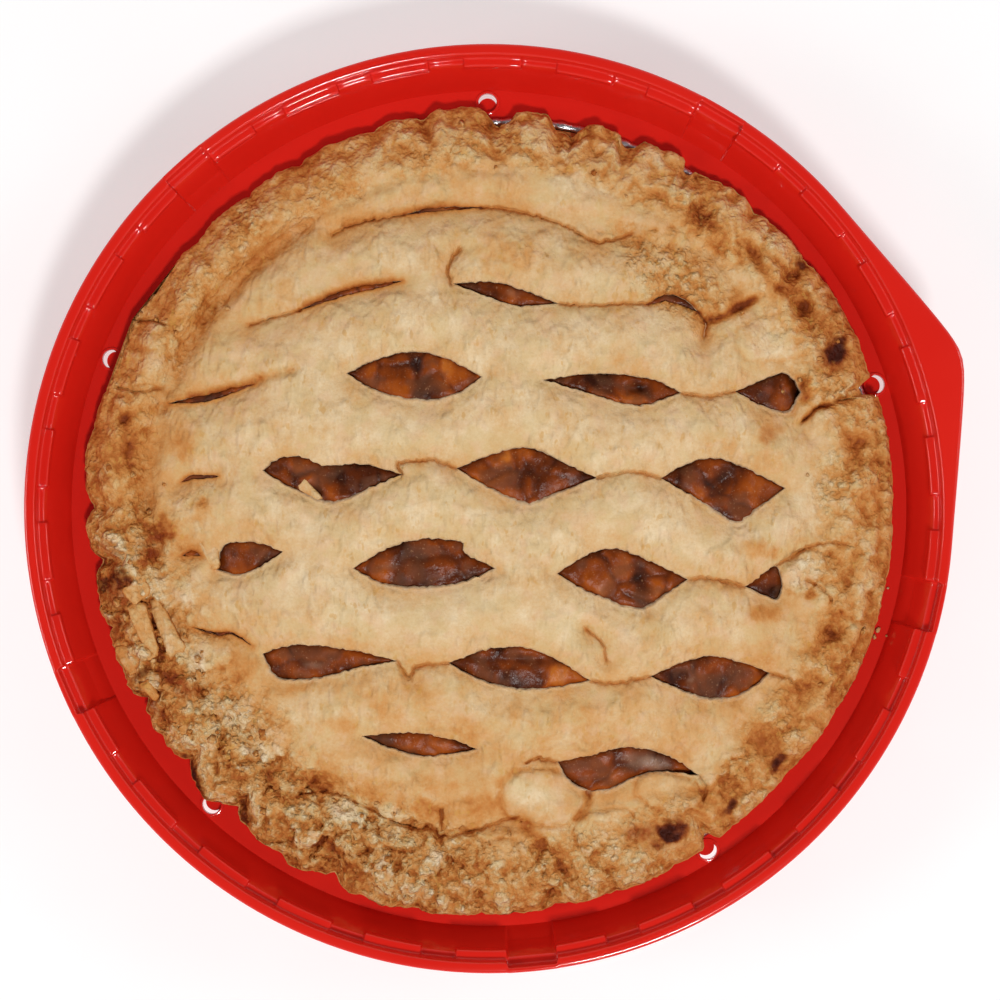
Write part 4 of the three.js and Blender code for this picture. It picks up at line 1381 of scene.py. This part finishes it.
def relief(spots):
    """Everything that makes the crust uneven, with painted shade that darkens its dips and pales its
    crests, and a little random tone.
    """
    knobs, crease_shade = rim_knobs(spots)
    flaked, flake_seam_shade = broken_flakes(spots)
    height = soft_lumps(spots) + knobs + flaked
    # Low places are darker and high ones paler: painted shade and light that follow the relief.
    sunk = np.clip(-height, -1.5, 1.5)
    brown = np.maximum(spots.rim, spots.broken) * 0.10 * sunk + 0.10 * spots.broad
    lift, outline = raised(spots.plan)
    dips, fold_brown_and_shade = fold_dips(spots)
    height += lift - 0.6 * outline + dips
    # The dipped band round each raised piece is darker: painted shade.
    return height, brown + crease_shade + flake_seam_shade + 0.22 * outline + fold_brown_and_shade


def browning_and_gap_shade(spots):
    """How brown the oven made each place: more towards the rim, on some sides and at the cuts, with
    painted shade along the cracks and beside the slits.
    """
    bake = 0.14 + 0.07 * rise(spots.radius, 50, 98) + 0.08 * rise(-spots.plan[:, 1], 20, 70)
    bake += 0.10 * bell(spots.to_gap, 5.0) * (1 - spots.rim)
    bake -= 0.08 * (spots.towards(BROKEN_SIDE) + spots.towards(FLOURY_FRONT)) * spots.rim
    bake += 0.08 * spots.rim + 0.12 * rise(spots.radius, 117, PLAN_RADIUS)
    outside = rise(spots.radius + spots.wander, 84, 104)
    for turn, half, share in BROWNED_SIDES:
        bake += share * spots.towards((turn, half, SIDE_FADE)) * outside
    # Darker along the cracks and beside the slits: painted shade.
    bake += 0.24 * bell(spots.to_crack, 0.5) * (1 - 0.5 * spots.rim)
    return bake + 0.32 * bell(spots.to_slit, 0.9, 1.5)


def crumbliness(spots):
    """1 where the crust's surface is all crumbs and 0 where it is whole."""
    crumbly = (0.45 + 0.30 * spots.patchy) * spots.rim + 0.50 * spots.near_broken
    return np.clip(crumbly + 0.35 * spots.near_front + spots.flaky, 0, 1)


def cut_edges(spots):
    """How fresh the cut pastry looks next to the openings, most on their near sides."""
    ragged = 0.10 + 0.60 * (spots.side < 0) * rise(spots.grain, -0.4, 0.4)
    return ragged * bell(spots.to_opening, 0.6)


def crust_top(plan):
    """Heights of the pastry's top over the plan, and its masks."""
    spots = Spots(plan)
    roll, groove_shade = rim_roll(spots)
    hollows, hollow_shade = finger_hollows(spots)
    uneven, relief_tone_and_shade = relief(spots)
    rusty = stained(plan, RUSTY, spots.grain)
    burnt = stained(plan, BURNT, spots.grain)
    # The browning mask also carries the painted shade of the grooves, hollows, creases, seams and folds.
    bake = browning_and_gap_shade(spots) + groove_shade + hollow_shade + relief_tone_and_shade
    bake += 1.15 * stained(plan, TOASTED, spots.grain) - stained(plan, PALE, spots.grain)
    masks = {
        "bake": bake + 0.3 * rusty + 0.7 * burnt,
        "crumb": crumbliness(spots),
        "rust": rusty,
        "burn": burnt,
        "cut": cut_edges(spots),
    }
    return lid_height(spots) + roll + hollows + uneven, masks


# ---- crust mesh ---------------------------------------------------------------------------

LID_PITCH = 1.15
RIM_PITCH = 0.82
CEILING_PITCH = 7.0
FINE_RADIUS = 96.0
EDGE_POINTS = 720
CEILING_POINTS = 96
CAVITY_RADIUS = 105.5
HOLE_CLEARANCE = 1.5  # from an opening or slit to the nearest point of the grid
CRACK_CLEARANCE = 1.2
HOLE_ROWS = (-0.45, -1.05)  # how far to a line's left its extra rows of points are
CRACK_ROWS = (-0.4, -0.85, 0.4, 0.85)
ROW_CLEARANCE = 0.3  # from a point of those rows to any hole or crack
SAME_PLACE = 0.001
WIDE_HALF = 8.0  # the walls lean in fully where an opening's middle is at least this far off
RIM_UNDERSIDE = 33.95  # just clear of the tin's rolled edge
CUT = 1.0  # how fresh the pastry looks on the walls of the openings
STEAMED = 0.5  # and inside the case

# Rows of the openings' walls: share of the way in that they lean, and drop.
WALL_ROWS = [(0.55, 0.35), (0.9, 1.1), (1.0, PASTRY - 1.4)]

# Rings of the inside of the case, down from the lid: radius and height.
CASE_RINGS = [(CAVITY_RADIUS, 31.0), (94.0, 18.0), (86.6, FILLING_LOW - 0.3)]


def hex_points(pitch, inner, outer, seed):
    """Points at the corners of a triangle grid, between two radii, each a little out of place."""
    across = np.arange(-outer, outer, pitch)
    grid = []
    for index, y in enumerate(np.arange(-outer, outer, pitch * math.sqrt(0.75))):
        grid.append(np.column_stack([across + (index % 2) * pitch / 2, np.full(len(across), y)]))
    points = np.vstack(grid)
    points = points + np.random.default_rng(seed).uniform(-0.12, 0.12, points.shape) * pitch
    radius = np.hypot(*points.T)
    return points[(radius >= inner) & (radius < outer)]


def beside(line, distance):
    """A line moved to its left by a distance."""
    return line + normals(line) * distance


def triangulate(points, loops, lines):
    """Triangles over plan points that keep the edges of closed loops and open lines."""
    corners = [points]
    edges = []
    start = len(points)
    for index, line in enumerate(loops + lines):
        numbers = list(range(start, start + len(line)))
        edges += list(zip(numbers, numbers[1:]))
        corners.append(line)
        start += len(line)
        if index < len(loops):
            edges.append((numbers[-1], numbers[0]))
    spots = [Vector(corner) for corner in np.vstack(corners)]
    found, _, faces, *_ = delaunay_2d_cdt(spots, edges, [], 0, 1e-5)
    plan = np.array(found)
    return plan, np.array([face for face in faces if len(face) == 3])


def face_upward(plan, faces):
    """The triangles, all anticlockwise, without those that have no area."""
    a, b, c = (plan[faces[:, corner]] for corner in range(3))
    turn = (b - a)[:, 0] * (c - a)[:, 1] - (b - a)[:, 1] * (c - a)[:, 0]
    flipped = np.where((turn < 0)[:, None], faces[:, ::-1], faces)
    return flipped[np.abs(turn) > 1e-9]


def drop_holes(plan, faces, outlines):
    """The triangles whose middles lie outside all of the outlines."""
    middle = plan[faces].mean(1)
    gone = np.zeros(len(faces), bool)
    for outline in outlines:
        gone |= inside(middle, outline)
    return faces[~gone]


def used_only(plan, faces):
    """A mesh without the points that none of its faces use."""
    used, numbers = np.unique(faces, return_inverse=True)
    return plan[used], numbers.reshape(faces.shape)


def border_loops(faces):
    """The closed loops of edges that only one triangle uses."""
    halves = {(int(face[i]), int(face[(i + 1) % 3])) for face in faces for i in range(3)}
    follow = {a: b for a, b in halves if (b, a) not in halves}
    loops = []
    while follow:
        loop = [min(follow)]
        while loop[-1] in follow:
            loop.append(follow.pop(loop[-1]))
        loops.append(loop[:-1])
    return sorted(loops, key=len)


def split_borders(plan, faces):
    """The outer border of a plan mesh, and the borders of its holes."""
    loops = border_loops(faces)
    outer = max(loops, key=lambda loop: np.hypot(*plan[loop].T).mean())
    return outer, [loop for loop in loops if loop is not outer]


def crust_plan():
    """The plan mesh of the crust's top, with its openings cut out."""
    lid = hex_points(LID_PITCH, 0, FINE_RADIUS, 1)
    rim = hex_points(RIM_PITCH, FINE_RADIUS, PLAN_RADIUS - 0.5, 2)
    points = np.vstack([lid, rim])
    distances, _ = gap_distances(points)
    points = points[(distances[:2].min(0) > HOLE_CLEARANCE) & (distances[2] > CRACK_CLEARANCE)]
    outlines = [closed(outline) for outline in holes]
    rows = [beside(outline, distance) for outline in outlines for distance in HOLE_ROWS]
    rows += [beside(line, distance) for line in cracks for distance in CRACK_ROWS]
    extra = np.vstack(rows)
    clear = clear_of(extra, outlines, ROW_CLEARANCE)
    for line in cracks:
        clear &= distance_to(extra, line) > ROW_CLEARANCE
    points = np.vstack([points, extra[clear]])
    plan, faces = triangulate(points, [circle(PLAN_RADIUS, EDGE_POINTS), *holes], cracks)
    return used_only(plan, drop_holes(plan, face_upward(plan, faces), holes))


def cut_walls(shell, loops):
    """The walls of the openings, which lean in most on the near side. Gives their lowest rows."""
    lowest = []
    for row in loops:
        spots = shell.points[row]
        inward = spots[:, :2].mean(0) - spots[:, :2]
        length = np.linalg.norm(inward, axis=1)
        near_side = np.clip(inward[:, 1] / WIDE_HALF, 0, 1)
        reach = (0.3 + 1.0 * near_side) * np.minimum(1, length / WIDE_HALF)
        inward /= np.maximum(length, 1)[:, None]
        for share, drop in WALL_ROWS:
            moved = spots[:, :2] + inward * (share * reach)[:, None]
            row = shell.grow(row, np.column_stack([moved, spots[:, 2] - drop]), CUT)
        lowest.append(row)
    return lowest


def lid_underside(shell, wall_rows):
    """The ceiling over the filling, which starts at the openings' walls. Gives its outer row."""
    flat = shell.points[:, :2]
    outlines = [flat[row] for row in wall_rows]
    grid = hex_points(CEILING_PITCH, 0, CAVITY_RADIUS - 4, 3)
    grid = grid[clear_of(grid, outlines, 2.5)]
    plan, faces = triangulate(grid, [circle(CAVITY_RADIUS, CEILING_POINTS), *outlines], [])
    faces = drop_holes(plan, face_upward(plan, faces), outlines)[:, ::-1]
    corners = np.concatenate(wall_rows)
    away = np.linalg.norm(plan[:, None] - flat[corners], axis=2)
    fresh = away.min(axis=1) > SAME_PLACE
    numbers = np.where(fresh, len(flat) + np.cumsum(fresh) - 1, corners[away.argmin(axis=1)])
    ceiling = np.column_stack([plan, dome(np.hypot(*plan.T)) - PASTRY])
    shell.add(ceiling[fresh], STEAMED)
    shell.faces += numbers[faces].tolist()
    border, _ = split_borders(plan, faces)
    return numbers[border].tolist()


def outer_rings(top, angles):
    """Rings of the crust's edge, the underside of its rim and the outside of its case: radius
    and height."""
    edge = crust_edge(angles)
    bead = tin_edge(angles)
    return [
        (edge + 0.35, top - 0.5),
        (edge + 0.45, 0.5 * top + 17.9),
        (edge - 0.4, 34.5),
        (np.minimum(edge - 1.8, bead), RIM_UNDERSIDE),
        (bead - 2.7, RIM_UNDERSIDE),
        (bead - 3.4, 32.2),
        (TIN_LIP_RADIUS - 0.6, 32.1),
        (TIN_BASE_RADIUS + 0.5, CRUST_LOW + 1.2),
        (TIN_BASE_RADIUS - 1.6, CRUST_LOW),
    ]


def make_crust(finish):
    """The slit lid, the crimped rim and the case below them, as one closed piece."""
    plan, faces = crust_plan()
    height, masks = crust_top(plan)
    border, hole_borders = split_borders(plan, faces)
    shell = Shell(np.column_stack([spread(plan), height]), faces)
    ceiling_row = lid_underside(shell, cut_walls(shell, hole_borders))
    shell.grow_down(ceiling_row, CASE_RINGS, bearing(shell.points[ceiling_row]), STEAMED)
    angles = bearing(plan[border])
    shell.grow_down(border, outer_rings(height[border], angles), angles)
    below = {"bake": 0.5, "cut": shell.shades[len(plan):]}
    masks = full_masks(masks, len(shell.points), below)
    make_piece("pie_crust", shell.points, shell.faces, finish, masks, ("crust",))


# ---- broken pastry ------------------------------------------------------------------------

SLAB_POINTS = 44
SLAB_THICKNESS = 2.6
CRUMB_COUNT = 90
CRUMB_RINGS = 5
CRUMB_POINTS = 9

# Rings of a slab from the middle of its top to its foot: share of its size, height and browning.
SLAB_RINGS = [
    (0.3, 0.1, -0.04), (0.6, 0.0, 0.0), (0.86, -0.1, 0.0), (0.98, -0.5, 0.14),
    (1.0, -SLAB_THICKNESS, 0.3),
]

# Crumbs that have fallen on the tray's ledge: x, y and size.
FALLEN_CRUMBS = [(124.1, -24.8, 0.5), (121.0, -37.9, 1.0), (119.9, -39.9, 0.8), (123.8, -39.7, 0.5)]


def crust_height(place):
    return crust_top(np.array([place], float))[0][0]


def blunted(wave, power):
    """A sine or cosine with its rounds flattened, which turns an oval into a soft rectangle."""
    return np.sign(wave) * np.abs(wave) ** power


def slab_shape(length, width, taper, seed):
    """A broken slab with worn edges, lying along X with its top near height 0, and how brown
    each point is, with painted shade where a ring dips."""
    turn = np.arange(SLAB_POINTS) * TAU / SLAB_POINTS
    outline = np.column_stack([blunted(np.cos(turn), 0.3) * length, blunted(np.sin(turn), 0.35) * width])
    outline[:, 1] *= 1 - taper * outline[:, 0] / length
    outline *= (1 + 0.22 * lumps(outline, 2.8, 3, seed))[:, None]
    rings = []
    brown = []
    for share, level, tone in SLAB_RINGS:
        ring = outline * share
        uneven = lumps(ring, 2.6, 3, seed + 5)
        rings.append(np.column_stack([ring, level + 0.5 * uneven]))
        # Lower points of each ring are a little browner: painted shade.
        brown.append(tone - 0.10 * uneven)
    points, faces = stacked(rings, (0, 0, 0.1), (0, 0, -SLAB_THICKNESS))
    return points, faces, np.concatenate([*brown, [0.0, 0.3]])


def crumb_shape(size, seed):
    """A small rough lump."""
    rings = []
    for ring in range(1, CRUMB_RINGS):
        lean = math.pi * ring / CRUMB_RINGS
        angles = (np.arange(CRUMB_POINTS) + 0.5 * (ring % 2)) * 360 / CRUMB_POINTS
        rings.append(ring_at(math.sin(lean), math.cos(lean), angles))
    points, faces = stacked(rings, (0, 0, 1), (0, 0, -1))
    points *= (1 + 0.7 * lumps(points, 0.9, 3, seed))[:, None] * size
    return points, faces


def turned(points, turn, tilt=0.0):
    """Tilts points about Y, then turns them about Z."""
    c, s = cos_sin(tilt)
    tilted = points @ np.array([[c, 0, -s], [0, 1, 0], [s, 0, c]])
    c, s = cos_sin(turn)
    return tilted @ np.array([[c, s, 0], [-s, c, 0], [0, 0, 1]])


def laid_slabs():
    """The slabs and flaps on the crust: points, faces, browning and crumbliness of each."""
    shapes = []
    for index, (x, y, length, width, turn, taper, above, tilt, brown) in enumerate(SLABS):
        points, faces, tone = slab_shape(length, width, taper, 3.0 * index)
        place = (x, y, crust_height((x, y)) + above)
        shapes.append((turned(points, turn, tilt) + place, faces, brown + tone + 0.05, 0.4))
    return shapes


def strewn_crumbs():
    """Crumbs on the outside of the crust, most of them on its broken side: as above."""
    chance = np.random.default_rng(5)
    gathered = chance.random(CRUMB_COUNT) < 0.75
    on_broken_side = chance.normal(232, 24, CRUMB_COUNT)
    anywhere = chance.uniform(0, 360, CRUMB_COUNT)
    places = around(chance.uniform(97, 121, CRUMB_COUNT), np.where(gathered, on_broken_side, anywhere))
    heights, _ = crust_top(places)
    shapes = []
    for index, (place, height) in enumerate(zip(spread(places), heights)):
        size = chance.uniform(0.4, 1.2)
        points, faces = crumb_shape(size * chance.uniform(0.7, 1.2, 3), 7.0 * index)
        moved = turned(points, chance.uniform(0, 360)) + (*place, height + 0.3)
        shapes.append((moved, faces, chance.uniform(0.28, 0.62), 0.8))
    return shapes


def fallen_crumbs():
    """The crumbs on the tray's ledge: as above."""
    shapes = []
    for index, (x, y, size) in enumerate(FALLEN_CRUMBS):
        points, faces = crumb_shape(size * np.array([1.0, 0.7, 0.5]), 3.0 * index + 1)
        shapes.append((turned(points, 50 * index) + (x, y, LEDGE_TOP + 0.4 * size), faces, 0.2, 0.4))
    return shapes


def make_broken_pastry(finish):
    """The slabs, flaps and crumbs that lie on the crust and the tray, as one piece."""
    shapes = [*laid_slabs(), *strewn_crumbs(), *fallen_crumbs()]
    points, faces = joined([shape[:2] for shape in shapes])
    bake = np.concatenate([brown + np.zeros(len(corners)) for corners, _, brown, _ in shapes])
    crumb = np.concatenate([crumbly + np.zeros(len(corners)) for corners, _, _, crumbly in shapes])
    none = np.zeros(len(points))
    masks = {"bake": bake + 0.1, "crumb": crumb, "rust": none, "burn": none, "cut": none}
    make_piece("broken_pastry", points, faces, finish, masks)


# ---- filling ------------------------------------------------------------------------------

FILLING_PITCH = 6.0
FILLING_FINE_PITCH = 0.95
FILLING_RINGS = [(FILLING_RADIUS, 30.0), (93.7, 18.0), (86.2, FILLING_LOW)]

# Pits between the apple pieces: x, y, half length, half width, turn and depth.
PITS = [
    (70.5, 7.4, 3.6, 2.6, 20, 3.0), (45.0, 36.8, 3.6, 2.0, 10, 3.0), (12.6, 12.6, 2.4, 2.0, 0, 1.0),
    (47.0, -21.8, 2.4, 3.6, 30, 2.4), (-54.0, 5.4, 2.0, 3.0, 60, 1.6),
    (10.0, -46.0, 9.0, 1.6, 0, 1.6), (58.5, -51.6, 3.0, 2.4, 20, 2.0),
    (-22.0, 43.6, 1.6, 3.2, 10, 1.2), (88.0, -25.4, 2.2, 1.8, 0, 1.6),
]

# Pale skins on the apple: x, y, half length, half width, turn and amount.
SKINS = [
    (49.0, -78.4, 8.0, 2.6, -8, 0.6), (-8.0, 9.0, 2.6, 1.6, 0, 0.2),
    (46.0, -53.6, 2.2, 1.2, 10, 0.35), (34.0, -24.4, 2.6, 1.6, 60, 0.2),
    (62.0, -52.6, 2.0, 1.0, 30, 0.35), (8.0, 66.0, 3.0, 1.6, 0, 0.3),
    (-54.0, -48.0, 3.4, 1.2, 0, 0.3), (-30.0, -17.4, 3.0, 1.4, 0, 0.25),
]


def filling_plan():
    """The plan mesh of the filling's top, which is fine under the openings."""
    outlines = [closed(outline) for outline in holes]
    coarse = hex_points(FILLING_PITCH, 0, FILLING_RADIUS - 4, 4)
    fine = hex_points(FILLING_FINE_PITCH, 0, FILLING_RADIUS - 3, 5)
    points = np.vstack([coarse[clear_of(coarse, outlines, 4)], fine[~clear_of(fine, outlines, 2.5)]])
    plan, faces = triangulate(points, [circle(FILLING_RADIUS, CEILING_POINTS)], [])
    return plan, face_upward(plan, faces)


def depth_inside(plan, outlines):
    """How far each point lies inside the outline that holds it."""
    within = np.zeros(len(plan))
    for outline in outlines:
        depth = distance_to(plan, closed(outline))
        within = np.where(inside(plan, outline), np.minimum(depth, FAR_AWAY), within)
    return within


def filling_top(plan):
    """Heights of the filling's top over the plan, and its masks."""
    wobble = np.column_stack([lumps(plan, 8.0, 2, seed=1.0), lumps(plan, 8.0, 2, seed=2.0)])
    level, seam = flakes(plan + 2.0 * wobble, 12.0, seed=3.0)
    # Slices are darker along the seams between them: painted shade.
    slices = np.clip(0.55 + 0.6 * (level - 0.5), 0, 1.1) * (1 - 0.8 * seam)
    ripple = lumps(plan, 4.5, 2, seed=8.0)
    within = depth_inside(plan, holes)
    swell = (within > 0) * (1 - bell(within + 0.7, 0.9, 1))
    height = dome(np.hypot(*plan.T)) - PASTRY - 0.5
    height += 3.0 * swell * (0.60 + 0.40 * slices) + 0.3 * ripple * swell
    for outline in slits:
        height += 1.5 * bell(distance_to(plan, closed(outline)), 1.6)
    # Pits are darker as well as lower: painted shade.
    dark = np.zeros(len(plan))
    for x, y, length, width, turn, depth in PITS:
        pit = hill(plan, (x, y), (length, width), turn)
        height -= depth * pit
        dark += 0.5 * pit
    return height, {"bright": slices - dark, "pale": stained(plan, SKINS, ripple)}


def make_filling(finish):
    """One body of apple pieces in syrup, which swells a little in each opening."""
    plan, faces = filling_plan()
    height, masks = filling_top(plan)
    border, _ = split_borders(plan, faces)
    shell = Shell(np.column_stack([plan, height]), faces)
    shell.grow_down(border, FILLING_RINGS, bearing(plan[border]))
    masks = full_masks(masks, len(shell.points), {})
    make_piece("apple_pieces", shell.points, shell.faces, finish, masks, ("filling",))


# ---- floor, light and camera --------------------------------------------------------------

FLOOR_HALF = 3.0  # these sizes and places are in metres
LIGHT_AIM = (0, 0, 0.04)

# Lamps: name, place, side and power in watts.
LAMPS = [
    ("key", (0.50, -1.52, 3.3), 0.45, 65),
    ("left_fill", (-1.5, -0.2, 1.3), 0.6, 6),
    ("right_fill", (1.5, 0.3, 1.3), 0.6, 4),
]

HORIZON_LIGHT = 0.95
OVERHEAD_LIGHT = 0.06
CAMERA_PLACE = (3.43, 2.62)  # in millimetres from the middle of the tray
CAMERA_HEIGHT = 932.0  # over the tray's rim
CAMERA_LENS = 110.0


def make_floor(finish):
    mesh = bpy.data.meshes.new("floor")
    corners = [(x * FLOOR_HALF, y * FLOOR_HALF, 0) for x, y in ((-1, -1), (1, -1), (1, 1), (-1, 1))]
    mesh.from_pydata(corners, [], [(0, 1, 2, 3)])
    mesh.materials.append(finish)
    floor = add_object("floor", mesh)


def make_world():
    """A dim studio that is brighter towards the horizon than overhead."""
    world = bpy.data.worlds.new("studio")
    world.use_nodes = True
    recipe = Recipe(world.node_tree)
    direction = recipe.add("TexCoord", output="Generated")
    upward = recipe.add("SeparateXYZ", None, {0: direction}, output="Z")
    limits = {"Value": upward, "To Min": HORIZON_LIGHT, "To Max": OVERHEAD_LIGHT}
    background = recipe.nodes["Background"]
    recipe.feed(background.inputs["Strength"], recipe.add("MapRange", None, limits))
    recipe.feed(background.inputs["Color"], (1.0, 1.0, 1.0))
    bpy.context.scene.world = world


def make_lamps():
    """Square lamps, all turned to the pie."""
    for name, place, side, power in LAMPS:
        data = bpy.data.lights.new(name, "AREA")
        data.size = side
        data.energy = power
        lamp = add_object(name, data)
        lamp.location = place
        lamp.rotation_euler = (Vector(LIGHT_AIM) - Vector(place)).to_track_quat("-Z", "Y").to_euler()


def make_camera():
    """A camera that looks straight down from over the pie."""
    data = bpy.data.cameras.new("camera")
    data.sensor_width = 36.0
    data.lens = CAMERA_LENS
    camera = add_object("camera", data)
    camera.location = [value * MM for value in (*CAMERA_PLACE, TRAY_TOP + CAMERA_HEIGHT)]
    bpy.context.scene.camera = camera


bpy.context.scene.view_settings.view_transform = "Standard"
make_camera()
make_world()
make_lamps()
make_floor(pale_floor())
make_tray(red_plastic())
make_tin(tin_foil())
pastry = baked_pastry()
make_crust(pastry)
make_broken_pastry(pastry)
make_filling(cooked_apple())
